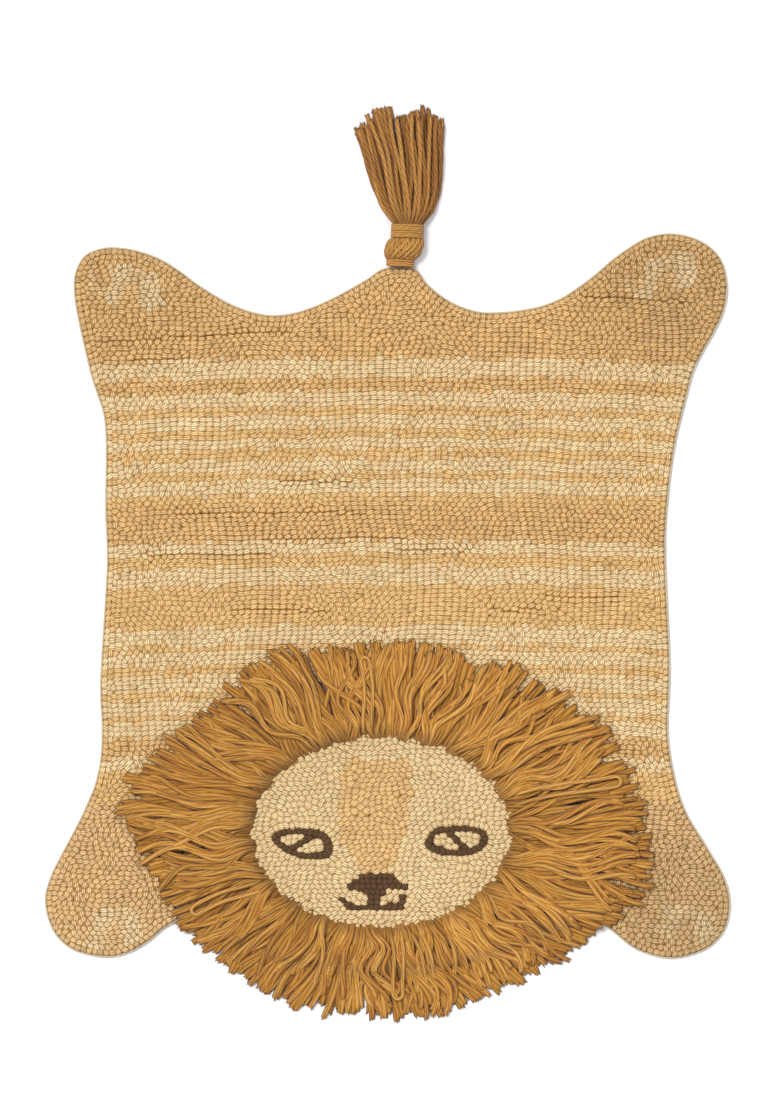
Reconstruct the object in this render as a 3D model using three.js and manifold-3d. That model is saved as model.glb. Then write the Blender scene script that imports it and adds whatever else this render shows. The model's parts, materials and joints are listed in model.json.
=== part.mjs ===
// A bath mat of hooked yarn in the shape of a lion skin lying flat on the floor: four paws, a striped back,
// an oval face ringed by a mane of long yarn, and a tassel for a tail.
// Millimetres, +Z up. +X is to the right and +Y towards the tail, seen from above with the face at the bottom.
// The mat lies on z = 0, and the whole mat's box is centred on the Z axis.

import * as THREE from "three";
import { mergeVertices } from "three/addons/utils/BufferGeometryUtils.js";
import Module from "manifold-3d";

const wasm = await Module();
wasm.setup();

// The hooked ground: foundation cloth and loops together.
const MAT_THICKNESS = 10;
const EDGE_ROUND = 3;
const OUTLINE_STEPS = 136;
// The pile lies a little lower in broad patches, but not where the mane rests on it.
const PATCH_DEPTH = 1.4;
const PATCH_LENGTH = 85;
const TOP_CELL = 28;

// The face is an oval, and the mane is rooted round its rim.
const FACE = { x: -7, y: -270.5, halfWidth: 128.5, halfHeight: 94 };
const MANE = { x: 3.5, y: -273.5, halfWidth: 263, halfTop: 197, halfBottom: 182 };
const MANE_SECTIONS = 8;
const LOCKS_PER_SECTION = 13;
const LOCK_ANGLE = (2 * Math.PI) / (MANE_SECTIONS * LOCKS_PER_SECTION);
const ROOT_STRIP = { width: 9, height: 8.6, steps: 8 };
const SECTION_GAP = 0.6;
const SEAT_GAP = 0.3;
// Two layers of locks. Each row gives a lock's height, how much of its own room it fills from side to side,
// how far up it lies, and the shortest and longest share of the way to the mane's rim.
const MANE_LAYERS = [
  { layer: "lower", height: 5.4, fill: 0.82, lift: 0, shortest: 0.92, longest: 1 },
  { layer: "upper", height: 5, fill: 0.7, lift: 5.8, shortest: 0.68, longest: 0.88 },
];
// The locks wave from side to side, and neighbours wave together.
const LOCK_WAVE = { sway: 4.5, bends: 1.1, drift: 3 };
// A lock stays level for this far past the mat's edge, then comes down to the floor in this length.
const EDGE_CLEARANCE = 8;
const FALL_LENGTH = 17;
// The end of a lock or strand is cut to these shares of its width and height.
const CUT_END = { width: 0.8, height: 0.6 };

// The tail: a stub of bound yarn at the mat's tip, a knotted head, a neck, and strands that fan out.
// Distances run along the tail from the mat's tip. Each row of the core gives its middle and its half sizes.
const TIP_Y = 294;
const TAIL_CORE = [
  { at: 0.3, x: 12, z: 9.2, halfWidth: 10.6, halfHeight: 5.4 },
  { at: 9.6, x: 13, z: 10.2, halfWidth: 11, halfHeight: 6 },
  { at: 12, x: 15, z: 12, halfWidth: 15, halfHeight: 9.8 },
  { at: 18, x: 16.5, z: 13.6, halfWidth: 18, halfHeight: 13.2 },
  { at: 24, x: 17.5, z: 13.6, halfWidth: 17.6, halfHeight: 12.8 },
  { at: 28.4, x: 19, z: 13.6, halfWidth: 12.6, halfHeight: 9.4 },
  { at: 43.4, x: 20, z: 13.6, halfWidth: 12.6, halfHeight: 9.4 },
  { at: 52, x: 20, z: 11, halfWidth: 14, halfHeight: 7 },
];
const CORE_SIDES = 16;
// Yarn is wound over the stub and the neck. Thick is how far the windings stand out from the core.
const STUB_WRAP = { from: 1.2, to: 9, thick: 3, turns: 3 };
const NECK_WRAP = { from: 29, to: 43, thick: 4, turns: 4 };
const CREASE_DEPTH = 1.2;
// Lean is how far the fan's two sides end from the neck's middle. The right side spreads out the sooner.
const FAN = { from: 45, to: 162, x: 20, rootZ: 7, rootHalfWidth: 13 };
const FAN_SIDES = { left: { lean: -61, bow: 0.8 }, right: { lean: 40, bow: 0.5 } };
const TASSEL_LAYERS = [
  { layer: "lower", strands: 14, height: 4.4, lift: 0, reach: 0.97 },
  { layer: "middle", strands: 13, height: 4, lift: 4.9, reach: 1 },
  { layer: "upper", strands: 10, height: 3.8, lift: 9.4, reach: 0.9 },
];
const STRAND_WIDTH = { root: 1.8, tip: 6 };

// The edge of the mat, anticlockwise from the left corner of the tail's tip to its right corner.
const EDGE_STOPS = [
  { place: "tail tip, left", x: -3, y: 294 },
  { place: "rump, left", x: -39.5, y: 272.5 },
  { place: "rump, left", x: -76, y: 255 },
  { place: "dip, left", x: -112, y: 247 },
  { place: "dip, left", x: -148, y: 254.5 },
  { place: "haunch, left", x: -184, y: 274 },
  { place: "haunch, left", x: -220, y: 299.5 },
  { place: "hind paw, left", x: -250, y: 311.5 },
  { place: "hind paw, left", x: -280, y: 315 },
  { place: "hind paw, left", x: -303, y: 307 },
  { place: "hind paw, left", x: -313.5, y: 288 },
  { place: "hind paw, left", x: -312.5, y: 255 },
  { place: "knee, left", x: -297, y: 185 },
  { place: "flank, left", x: -283.5, y: 138 },
  { place: "flank, left", x: -283, y: 50 },
  { place: "flank, left", x: -281.5, y: -5 },
  { place: "flank, left", x: -288, y: -118 },
  { place: "flank, left", x: -286.5, y: -174 },
  { place: "elbow, left", x: -291.5, y: -216.5 },
  { place: "foreleg, left", x: -309, y: -259 },
  { place: "front paw, left", x: -330, y: -299 },
  { place: "front paw, left", x: -343, y: -332 },
  { place: "front paw, left", x: -338, y: -364 },
  { place: "front paw, left", x: -319, y: -387 },
  { place: "front paw, left", x: -281, y: -396.5 },
  { place: "front paw, left", x: -248, y: -387 },
  { place: "armpit, left", x: -226, y: -369 },
  { place: "armpit, left", x: -199, y: -356 },
  { place: "under the mane", x: -165, y: -359 },
  { place: "under the mane", x: -117, y: -378.5 },
  { place: "chin", x: -62, y: -392 },
  { place: "chin", x: -6.5, y: -396.5 },
  { place: "chin", x: 49, y: -392 },
  { place: "under the mane", x: 104, y: -378.5 },
  { place: "under the mane", x: 157, y: -358 },
  { place: "armpit, right", x: 192, y: -351.5 },
  { place: "armpit, right", x: 218, y: -364.5 },
  { place: "front paw, right", x: 245, y: -386.5 },
  { place: "front paw, right", x: 280, y: -397.5 },
  { place: "front paw, right", x: 313, y: -391 },
  { place: "front paw, right", x: 335, y: -374 },
  { place: "front paw, right", x: 343.5, y: -345 },
  { place: "front paw, right", x: 337.5, y: -316 },
  { place: "foreleg, right", x: 318, y: -282 },
  { place: "elbow, right", x: 297.5, y: -247 },
  { place: "flank, right", x: 286, y: -207 },
  { place: "flank, right", x: 281, y: -168 },
  { place: "flank, right", x: 283, y: -103 },
  { place: "flank, right", x: 278.5, y: 8 },
  { place: "flank, right", x: 281, y: 62 },
  { place: "flank, right", x: 288, y: 116 },
  { place: "knee, right", x: 299, y: 162 },
  { place: "knee, right", x: 309, y: 196 },
  { place: "hind paw, right", x: 334, y: 243 },
  { place: "hind paw, right", x: 340.5, y: 274 },
  { place: "hind paw, right", x: 334.5, y: 302 },
  { place: "hind paw, right", x: 318, y: 319 },
  { place: "hind paw, right", x: 290, y: 328.5 },
  { place: "hind paw, right", x: 260, y: 325 },
  { place: "haunch, right", x: 229, y: 306 },
  { place: "haunch, right", x: 200, y: 282 },
  { place: "dip, right", x: 168, y: 261.5 },
  { place: "dip, right", x: 132, y: 252 },
  { place: "dip, right", x: 92, y: 250.5 },
  { place: "rump, right", x: 64, y: 260.5 },
  { place: "rump, right", x: 43, y: 275.5 },
  { place: "tail tip, right", x: 26.5, y: 294 },
];

// Yarn is uneven, so each lock and strand takes its own share from 0 to 1, the same one for the same number.
function uneven(number) {
  const wave = Math.sin(number * 12.9898 + 4.137) * 43758.5453;
  return wave - Math.floor(wave);
}

// A closed solid of a geometry whose faces meet edge to edge.
function solidOf(geometry) {
  const bare = new THREE.BufferGeometry();
  bare.setAttribute("position", geometry.getAttribute("position"));
  if (geometry.index) {
    bare.setIndex(geometry.index);
  }
  const merged = mergeVertices(bare, 1e-3);
  const mesh = new wasm.Mesh({
    numProp: 3,
    vertProperties: new Float32Array(merged.attributes.position.array),
    triVerts: new Uint32Array(merged.index.array),
  });
  return new wasm.Manifold(mesh);
}

function geometryOf(solid) {
  const mesh = solid.getMesh();
  const geometry = new THREE.BufferGeometry();
  geometry.setAttribute("position", new THREE.BufferAttribute(mesh.vertProperties, 3));
  geometry.setIndex(new THREE.BufferAttribute(mesh.triVerts, 1));
  geometry.computeVertexNormals();
  return geometry;
}

// Skins a row of sections, each a list of as many points, and closes both ends.
function skinned(sections) {
  const corners = sections[0].length;
  const last = (sections.length - 1) * corners;
  const faces = [];
  for (let i = 0; i + 1 < sections.length; i += 1) {
    for (let j = 0; j < corners; j += 1) {
      const a = i * corners + j;
      const b = i * corners + ((j + 1) % corners);
      faces.push(a, b, b + corners, a, b + corners, a + corners);
    }
  }
  for (let j = 1; j + 1 < corners; j += 1) {
    faces.push(0, j + 1, j, last, last + j, last + j + 1);
  }
  const geometry = new THREE.BufferGeometry().setFromPoints(sections.flat());
  geometry.setIndex(faces);
  return geometry;
}

// A lock of yarn along stops of { x, y, z, width, height }, z being its underside: flat below, ridged on top.
function lockOf(stops) {
  const sections = stops.map((stop, i) => {
    const before = stops[Math.max(i - 1, 0)];
    const after = stops[Math.min(i + 1, stops.length - 1)];
    const along = new THREE.Vector2(after.x - before.x, after.y - before.y).normalize();
    const across = new THREE.Vector2(-along.y, along.x);
    const corner = (side, z) =>
      new THREE.Vector3(stop.x + across.x * side, stop.y + across.y * side, z);
    const half = stop.width / 2;
    return [corner(-half, stop.z), corner(half, stop.z), corner(0, stop.z + stop.height)];
  });
  const lock = solidOf(skinned(sections));
  if (lock.volume() <= 0) {
    throw new Error("a lock of yarn is inside out");
  }
  return lock;
}

// The mat's edge as points: a smooth curve through the stops, closed by the straight end of the tail.
function matEdge() {
  const stops = EDGE_STOPS.map(({ x, y }) => new THREE.Vector2(x, y));
  return new THREE.SplineCurve(stops).getSpacedPoints(OUTLINE_STEPS);
}

const edge = matEdge();

// How far a point lies outside the mat's edge; negative inside.
function outside(x, y) {
  let nearest = Infinity;
  let inside = false;
  edge.forEach((a, i) => {
    const b = edge[(i + 1) % edge.length];
    const dx = b.x - a.x;
    const dy = b.y - a.y;
    const share = ((x - a.x) * dx + (y - a.y) * dy) / (dx * dx + dy * dy);
    const along = THREE.MathUtils.clamp(share, 0, 1);
    nearest = Math.min(nearest, Math.hypot(x - a.x - along * dx, y - a.y - along * dy));
    if (a.y > y !== b.y > y && x < a.x + ((y - a.y) * dx) / dy) {
      inside = !inside;
    }
  });
  return inside ? -nearest : nearest;
}

// How deep the pile is pressed at a point: broad soft patches that fade out under the mane.
function patchDepth(x, y) {
  const beyondMane = Math.hypot((x - MANE.x) / MANE.halfWidth, (y - MANE.y) / MANE.halfTop) - 1;
  const share = THREE.MathUtils.smoothstep(beyondMane, 0.02, 0.25);
  const turn = (2 * Math.PI) / PATCH_LENGTH;
  const waves = Math.sin(x * turn + 0.6 * Math.sin(y * turn * 0.7)) * Math.cos(y * turn * 0.8 + 1.3);
  return PATCH_DEPTH * share * (0.5 + 0.5 * waves);
}

// The mat: its outline with rounded edges, cut off at the top by the uneven surface of the pile.
function hookedMat() {
  const spare = 1;
  const rounded = new THREE.ExtrudeGeometry(new THREE.Shape(edge), {
    depth: MAT_THICKNESS - 2 * EDGE_ROUND + spare,
    bevelThickness: EDGE_ROUND,
    bevelSize: EDGE_ROUND,
    bevelOffset: -EDGE_ROUND,
    bevelSegments: 2,
  });
  rounded.translate(0, 0, EDGE_ROUND);
  const box = new THREE.Box2().setFromPoints(edge).expandByScalar(spare);
  const size = box.getSize(new THREE.Vector2());
  const middle = box.getCenter(new THREE.Vector2());
  const columns = Math.ceil(size.x / TOP_CELL);
  const rows = Math.ceil(size.y / TOP_CELL);
  const pressed = new THREE.BoxGeometry(size.x, size.y, MAT_THICKNESS * 2, columns, rows, 1);
  pressed.translate(middle.x, middle.y, 0);
  const points = pressed.getAttribute("position");
  for (let i = 0; i < points.count; i += 1) {
    if (points.getZ(i) > 0) {
      points.setZ(i, MAT_THICKNESS - patchDepth(points.getX(i), points.getY(i)));
    }
  }
  return geometryOf(solidOf(rounded).intersect(solidOf(pressed)));
}

// A point between the face's rim and the mane's rim, at an angle round the face and a share of the way.
function manePoint(angle, share) {
  const cos = Math.cos(angle);
  const sin = Math.sin(angle);
  const reach = sin > 0 ? MANE.halfTop : MANE.halfBottom;
  const from = new THREE.Vector2(FACE.x + FACE.halfWidth * cos, FACE.y + FACE.halfHeight * sin);
  const to = new THREE.Vector2(MANE.x + MANE.halfWidth * cos, MANE.y + reach * sin);
  return from.lerp(to, share);
}

// A point on a lock's middle line, which waves from side to side about the straight way to the mane's rim.
function lockPoint(angle, share) {
  const at = manePoint(angle, share);
  const along = manePoint(angle, share + 0.01).sub(at).normalize();
  const wave = 2 * Math.PI * LOCK_WAVE.bends * share + LOCK_WAVE.drift * angle;
  const bend = LOCK_WAVE.sway * share * Math.sin(wave);
  return new THREE.Vector2(at.x - along.y * bend, at.y + along.x * bend);
}

// The shares of the way at which a lock leaves the mat and reaches the floor, or past 1 where it doesn't.
function fallOf(angle) {
  const steps = 60;
  let leaves = 0;
  for (let i = 1; i <= steps; i += 1) {
    const at = lockPoint(angle, i / steps);
    if (outside(at.x, at.y) < EDGE_CLEARANCE) {
      leaves = i / steps;
    }
  }
  const length = manePoint(angle, 0).distanceTo(manePoint(angle, 1));
  return { leaves, lands: leaves + FALL_LENGTH / length };
}

// The lock's cross sections are set at shares of the way: from inside the root strip to the cut end.
function lockPlaces(share, { leaves, lands }) {
  const rootAt = 0.03;
  const shortestFall = 0.05;
  const shortestEnd = 0.02;
  if (share - leaves < shortestFall) {
    return [rootAt, ...[0.28, 0.52, 0.76, 1].map((part) => part * share)];
  }
  const landsAt = Math.min(lands, share - shortestEnd);
  return [rootAt, leaves * 0.4, leaves * 0.75, leaves, landsAt, share];
}

function maneLock(angle, layer, number) {
  const share = layer.shortest + (layer.longest - layer.shortest) * uneven(number);
  const fall = fallOf(angle);
  const stops = lockPlaces(share, fall).map((place) => {
    const { x, y } = lockPoint(angle, place);
    const sides = [-LOCK_ANGLE / 2, LOCK_ANGLE / 2].map((turn) => manePoint(angle + turn, place));
    const room = sides[0].distanceTo(sides[1]);
    const fallen = THREE.MathUtils.clamp((place - fall.leaves) / (fall.lands - fall.leaves), 0, 1);
    const cut = place === share ? CUT_END : { width: 1, height: 1 };
    return {
      x,
      y,
      z: (MAT_THICKNESS + SEAT_GAP) * (1 - fallen) + layer.lift,
      width: room * layer.fill * cut.width,
      height: layer.height * cut.height,
    };
  });
  return lockOf(stops);
}

// One section of the mane: a strip of knotted roots on the mat, with two layers of locks growing out of it.
function maneSection(index) {
  const turn = LOCK_ANGLE * LOCKS_PER_SECTION;
  const start = turn * index;
  const gapAngle = SECTION_GAP / FACE.halfHeight;
  const inner = [];
  const outer = [];
  for (let i = 0; i <= ROOT_STRIP.steps; i += 1) {
    const angle = start + gapAngle / 2 + ((turn - gapAngle) * i) / ROOT_STRIP.steps;
    const from = manePoint(angle, 0);
    const way = manePoint(angle, 1).sub(from).normalize();
    inner.push(from);
    outer.unshift(from.clone().addScaledVector(way, ROOT_STRIP.width));
  }
  const shape = new THREE.Shape([...outer, ...inner]);
  const strip = new THREE.ExtrudeGeometry(shape, { depth: ROOT_STRIP.height, bevelEnabled: false });
  strip.translate(0, 0, MAT_THICKNESS + SEAT_GAP);
  const parts = [solidOf(strip)];
  MANE_LAYERS.forEach((layer, order) => {
    for (let i = 0; i < LOCKS_PER_SECTION - order; i += 1) {
      const angle = start + LOCK_ANGLE * (i + 0.5 + order * 0.5);
      parts.push(maneLock(angle, layer, index * 50 + order * 25 + i));
    }
  });
  return geometryOf(wasm.Manifold.union(parts));
}

// The tail's core at a distance along it, worked out between the rows on either side.
function coreAt(at) {
  const after = Math.max(TAIL_CORE.findIndex((row) => row.at > at), 1);
  const [a, b] = [TAIL_CORE[after - 1], TAIL_CORE[after]];
  const share = (at - a.at) / (b.at - a.at);
  const between = (name) => a[name] + (b[name] - a[name]) * share;
  const [x, z, halfWidth, halfHeight] = ["x", "z", "halfWidth", "halfHeight"].map(between);
  return { at, x, z, halfWidth, halfHeight };
}

// An oval section across the tail, larger than the core there by a margin.
function tailSection({ at, x, z, halfWidth, halfHeight }, margin = 0) {
  const section = [];
  for (let i = 0; i < CORE_SIDES; i += 1) {
    const angle = (-2 * Math.PI * i) / CORE_SIDES;
    const across = x + (halfWidth + margin) * Math.cos(angle);
    const up = z + (halfHeight + margin) * Math.sin(angle);
    section.push(new THREE.Vector3(across, TIP_Y + at, up));
  }
  return section;
}

function tasselStrand(layer, side, number) {
  const { lean, bow } = side < 0 ? FAN_SIDES.left : FAN_SIDES.right;
  const curved = 1 - 0.1 * side * side - 0.06 * uneven(number);
  const reach = (FAN.to - FAN.from) * layer.reach * curved;
  const rootX = side * FAN.rootHalfWidth;
  const rootZ = FAN.rootZ + layer.lift;
  const settledAt = 0.62;
  const stops = [0, 0.28, settledAt, 1].map((share) => {
    const spread = Math.pow(share, bow);
    const settled = Math.min(share / settledAt, 1);
    return {
      x: FAN.x + rootX + (Math.abs(side) * lean - rootX) * spread,
      y: TIP_Y + FAN.from + reach * share,
      z: rootZ + (layer.lift - rootZ) * settled,
      width: THREE.MathUtils.lerp(STRAND_WIDTH.root, STRAND_WIDTH.tip, share),
      height: layer.height * (share === 1 ? CUT_END.height : 1),
    };
  });
  return lockOf(stops);
}

// The tassel: the tail's core, fused with the roots of three layers of strands.
function tailTassel() {
  const parts = [solidOf(skinned(TAIL_CORE.map((row) => tailSection(row))))];
  TASSEL_LAYERS.forEach((layer, order) => {
    for (let i = 0; i < layer.strands; i += 1) {
      const side = (2 * (i + 0.5)) / layer.strands - 1;
      parts.push(tasselStrand(layer, side, 400 + order * 40 + i));
    }
  });
  return geometryOf(wasm.Manifold.union(parts));
}

// Turns of yarn wound side by side round the tail, with a crease between each turn and the next.
function yarnWrap({ from, to, thick, turns }) {
  const sections = [];
  for (let i = 0; i <= turns * 2; i += 1) {
    const crease = i % 2 === 0 ? CREASE_DEPTH : 0;
    sections.push(tailSection(coreAt(from + ((to - from) * i) / (turns * 2)), thick - crease));
  }
  const bore = [from - 1, to + 1].map((at) => tailSection(coreAt(at), SEAT_GAP));
  return geometryOf(solidOf(skinned(sections)).subtract(solidOf(skinned(bore))));
}

function material(color) {
  return new THREE.MeshStandardMaterial({ color, roughness: 0.95, metalness: 0 });
}

const pileYarn = material(0xd2a871);
const maneYarn = material(0xb5823f);
const tasselYarn = material(0x9c6f3d);
const wrapYarn = material(0xb3834a);

function named(name, geometry, finish) {
  const mesh = new THREE.Mesh(geometry, finish);
  mesh.name = name;
  return mesh;
}

const lionMat = new THREE.Group();
lionMat.add(named("hooked_mat", hookedMat(), pileYarn));
for (let index = 0; index < MANE_SECTIONS; index += 1) {
  lionMat.add(named(`mane_section_${index + 1}`, maneSection(index), maneYarn));
}
lionMat.add(named("tail_tassel", tailTassel(), tasselYarn));
lionMat.add(named("tail_neck_wrap", yarnWrap(NECK_WRAP), wrapYarn));
lionMat.add(named("tail_stub_wrap", yarnWrap(STUB_WRAP), wrapYarn));

// Centres the box of the whole mat on the Z axis.
const centre = new THREE.Box3().setFromObject(lionMat).getCenter(new THREE.Vector3());
lionMat.position.set(-centre.x, -centre.y, 0);

export default lionMat;
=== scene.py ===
# A bath mat of hooked wool yarn in the shape of a lion skin, lying flat: a striped back, four paws, an oval
# face ringed by a mane of long loose yarn, and a tassel for a tail.
# Shapes are worked out in millimetres, seen from above with the tail at the top: X to the right, Y towards
# the tail, Z up from the floor. They become metres when a piece is made.
import json

import bpy
import numpy as np
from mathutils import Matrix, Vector
from mathutils.bvhtree import BVHTree
from mathutils.kdtree import KDTree

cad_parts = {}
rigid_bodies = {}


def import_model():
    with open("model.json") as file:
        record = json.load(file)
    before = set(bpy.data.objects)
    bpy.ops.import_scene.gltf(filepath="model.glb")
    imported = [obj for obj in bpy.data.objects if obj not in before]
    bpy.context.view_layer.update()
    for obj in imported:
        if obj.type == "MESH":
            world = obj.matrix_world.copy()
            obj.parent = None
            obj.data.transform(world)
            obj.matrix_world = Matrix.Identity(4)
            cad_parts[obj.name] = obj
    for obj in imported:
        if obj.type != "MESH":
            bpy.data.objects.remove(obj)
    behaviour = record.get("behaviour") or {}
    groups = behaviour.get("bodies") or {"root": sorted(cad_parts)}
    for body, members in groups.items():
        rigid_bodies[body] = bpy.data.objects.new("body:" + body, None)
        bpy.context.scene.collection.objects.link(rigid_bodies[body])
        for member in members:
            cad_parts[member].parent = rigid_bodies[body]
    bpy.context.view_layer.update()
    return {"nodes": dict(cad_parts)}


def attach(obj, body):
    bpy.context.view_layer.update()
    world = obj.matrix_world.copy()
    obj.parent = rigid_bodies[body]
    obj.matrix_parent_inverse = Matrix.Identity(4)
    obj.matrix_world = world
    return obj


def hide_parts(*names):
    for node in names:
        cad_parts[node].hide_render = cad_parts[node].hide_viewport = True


for leftover in list(bpy.data.objects):
    bpy.data.objects.remove(leftover)
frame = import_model()


# Ground cloth
# One piece of cotton canvas is cut to the lion's outline, and every loop is hooked through it. Its edge is
# folded up against the outer row of loops and turned under, so only the fold shows, as a thin beige line.
MILLIMETRE = 0.001
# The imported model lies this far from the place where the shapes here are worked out.
CENTRING = np.array((0.13, -0.17, 0.0))
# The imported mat's edge stands upright at this height, and its outline is read there.
FOLD_HEIGHT = 3.0
CLOTH_STEP = 3.0
HEM_WIDTH = 12.0
HEM_THICKNESS = 0.8
HEM_BEVEL = 0.3
# The cloth's section from where the hem lies underneath, round the fold, to the upper face inside it.
HEM_SECTION = np.array((
    # inset from the outline, height
    (2.6, 0.0),
    (1.0, 0.5),
    (0.25, 1.6),
    (0.0, 3.0),
    (0.15, 4.3),
    (0.8, 5.1),
    (1.6, 4.9),
    (2.1, 3.9),
    (2.5, 2.0),
))
# The canvas's thread colour, and the darker colour of the painted shade in the weave's hollows.
CANVAS = (214, 198, 170)
CANVAS_SHADE = (182, 164, 136)
CANVAS_THREAD = 0.0011
# A wave texture at scale one repeats after this many metres.
WAVE_LENGTH = 0.314


def dye(rgb):
    """A colour from its eight-bit screen values."""
    share = np.asarray(rgb, float) / 255
    return np.where(share <= 0.04045, share / 12.92, ((share + 0.055) / 1.055) ** 2.4)


def dye_socket(rgb):
    """The same colour as a shader's socket takes it."""
    return (*dye(rgb), 1.0)


def add_node(tree, kind, inputs=None, **settings):
    """Adds a node. An input is a number, a colour or another node's output."""
    node = tree.nodes.new(kind)
    for key, value in settings.items():
        setattr(node, key, value)
    for socket, value in (inputs or {}).items():
        if isinstance(value, bpy.types.NodeSocket):
            tree.links.new(value, node.inputs[socket])
        else:
            node.inputs[socket].default_value = value
    return node


def add_math(tree, operation, *values):
    """Adds a calculation on numbers or other nodes' outputs, and returns its result."""
    return add_node(tree, "ShaderNodeMath", dict(enumerate(values)), operation=operation).outputs[0]


def start_group(name, inputs, outputs):
    """Starts a node group with named sockets and returns its tree, its input node and its output node."""
    tree = bpy.data.node_groups.new(name, "ShaderNodeTree")
    for socket, kind, value in inputs:
        made = tree.interface.new_socket(name=socket, in_out="INPUT", socket_type=kind)
        if value is not None:
            made.default_value = value
    for socket, kind in outputs:
        tree.interface.new_socket(name=socket, in_out="OUTPUT", socket_type=kind)
    return tree, tree.nodes.new("NodeGroupInput"), tree.nodes.new("NodeGroupOutput")


def start_material(name, **shader_values):
    """Starts a material: returns it, its tree and its shader. The values go on the shader's own sockets."""
    material = bpy.data.materials.new(name)
    material.use_nodes = True
    tree = material.node_tree
    shader = tree.nodes["Principled BSDF"]
    for socket, value in shader_values.items():
        shader.inputs[socket.replace("_", " ")].default_value = value
    return material, tree, shader


def make_piece(name, points, face_groups, material, nodes, colour=None, lie=None):
    """Makes a piece from points in millimetres and arrays of faces, one array for each number of corners."""
    mesh = bpy.data.meshes.new(name)
    corners = np.concatenate([faces.ravel() for faces in face_groups])
    sizes = np.concatenate([np.full(len(faces), faces.shape[1]) for faces in face_groups])
    mesh.vertices.add(len(points))
    mesh.vertices.foreach_set("co", ((points + CENTRING) * MILLIMETRE).ravel())
    mesh.loops.add(len(corners))
    mesh.loops.foreach_set("vertex_index", corners.astype(np.int32))
    mesh.polygons.add(len(sizes))
    mesh.polygons.foreach_set("loop_start", (np.cumsum(sizes) - sizes).astype(np.int32))
    mesh.update(calc_edges=True)
    mesh.validate()
    mesh.shade_smooth()
    if colour is not None:
        # The yarn's colour, with its painted shade.
        layer = mesh.attributes.new("yarn_colour_and_shade", "FLOAT_COLOR", "POINT")
        layer.data.foreach_set("color", np.column_stack((colour, np.ones(len(colour)))).ravel())
    if lie is not None:
        layer = mesh.attributes.new("yarn_lie", "FLOAT_VECTOR", "POINT")
        layer.data.foreach_set("vector", lie.ravel())
    mesh.materials.append(material)
    piece = bpy.data.objects.new(name, mesh)
    bpy.context.scene.collection.objects.link(piece)
    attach(piece, "root")
    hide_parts(*nodes)
    return piece


def read_outline(node):
    """The mat's outline, anticlockwise and evenly stepped, taken where its edge stands upright."""
    mesh = frame["nodes"][node].data
    beside = {}
    for edge in mesh.edges:
        ends = [mesh.vertices[index].co / MILLIMETRE for index in edge.vertices]
        if all(abs(end.z - FOLD_HEIGHT) < 0.05 for end in ends):
            one, other = [(round(end.x, 2), round(end.y, 2)) for end in ends]
            if one != other:
                beside.setdefault(one, []).append(other)
                beside.setdefault(other, []).append(one)
    ring = [min(beside)]
    passed = set(ring)
    while True:
        onward = [spot for spot in beside[ring[-1]] if spot not in passed]
        if not onward:
            break
        ring.append(onward[0])
        passed.add(onward[0])
    ring = np.array(ring) - CENTRING[:2]
    after = np.roll(ring, -1, axis=0)
    if (ring[:, 0] * after[:, 1] - ring[:, 1] * after[:, 0]).sum() < 0:
        ring = ring[::-1]
    return even_steps(ring, CLOTH_STEP)


def even_steps(ring, step):
    """Points on a smooth closed curve through the ring, at even distances."""
    share = np.linspace(0, 1, 8, endpoint=False)[None, :, None]
    before, here, after, later = [np.roll(ring, shift, axis=0)[:, None] for shift in (1, 0, -1, -2)]
    curve = 0.5 * (
        2 * here
        + (after - before) * share
        + (2 * before - 5 * here + 4 * after - later) * share**2
        + (3 * here - before - 3 * after + later) * share**3
    )
    curve = curve.reshape(-1, 2)
    closed = np.vstack((curve, curve[:1]))
    along = np.concatenate(([0], np.cumsum(np.linalg.norm(np.diff(closed, axis=0), axis=1))))
    stops = np.linspace(0, along[-1], int(along[-1] / step), endpoint=False)
    return np.column_stack([np.interp(stops, along, closed[:, axis]) for axis in (0, 1)])


def inward(ring):
    """The inward direction at each point of an anticlockwise ring."""
    along = np.roll(ring, -1, axis=0) - np.roll(ring, 1, axis=0)
    along /= np.linalg.norm(along, axis=1)[:, None]
    return np.column_stack((-along[:, 1], along[:, 0]))


def depth_inside(points, ring):
    """How far inside the ring each point is. It is negative outside."""
    after = np.roll(ring, -1, axis=0)
    side = after - ring
    length = (side**2).sum(axis=1)
    depths = []
    for some in np.array_split(points, max(1, len(points) // 2000)):
        from_start = some[:, None] - ring[None]
        share = np.clip((from_start * side).sum(axis=2) / length, 0, 1)
        gap = np.linalg.norm(from_start - share[..., None] * side, axis=2).min(axis=1)
        above = (ring[:, 1] > some[:, None, 1]) != (after[:, 1] > some[:, None, 1])
        rise = np.where(side[:, 1] == 0, 1, side[:, 1])
        crossing = ring[:, 0] + (some[:, None, 1] - ring[:, 1]) / rise * side[:, 0]
        inside = (above & (some[:, None, 0] < crossing)).sum(axis=1) % 2 == 1
        depths.append(np.where(inside, gap, -gap))
    return np.concatenate(depths)


outline = read_outline("hooked_mat")
outline_inward = inward(outline)


def drawn_in(inset, height):
    """The outline drawn in by one distance, or by one for each of its points, at a height."""
    inset = np.broadcast_to(inset, len(outline))[:, None]
    return np.column_stack((outline + outline_inward * inset, np.full(len(outline), height)))


# The hem is turned under by its whole width, and by less where the cloth is too narrow for it.
hem = np.full(len(outline), HEM_WIDTH)
for _ in range(int(HEM_WIDTH)):
    reached = depth_inside(outline + outline_inward * hem[:, None], outline)
    hem = np.where(reached < hem - 0.2, hem - 1, hem)
hem = (np.roll(hem, 1) + hem + np.roll(hem, -1)) / 3

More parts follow.
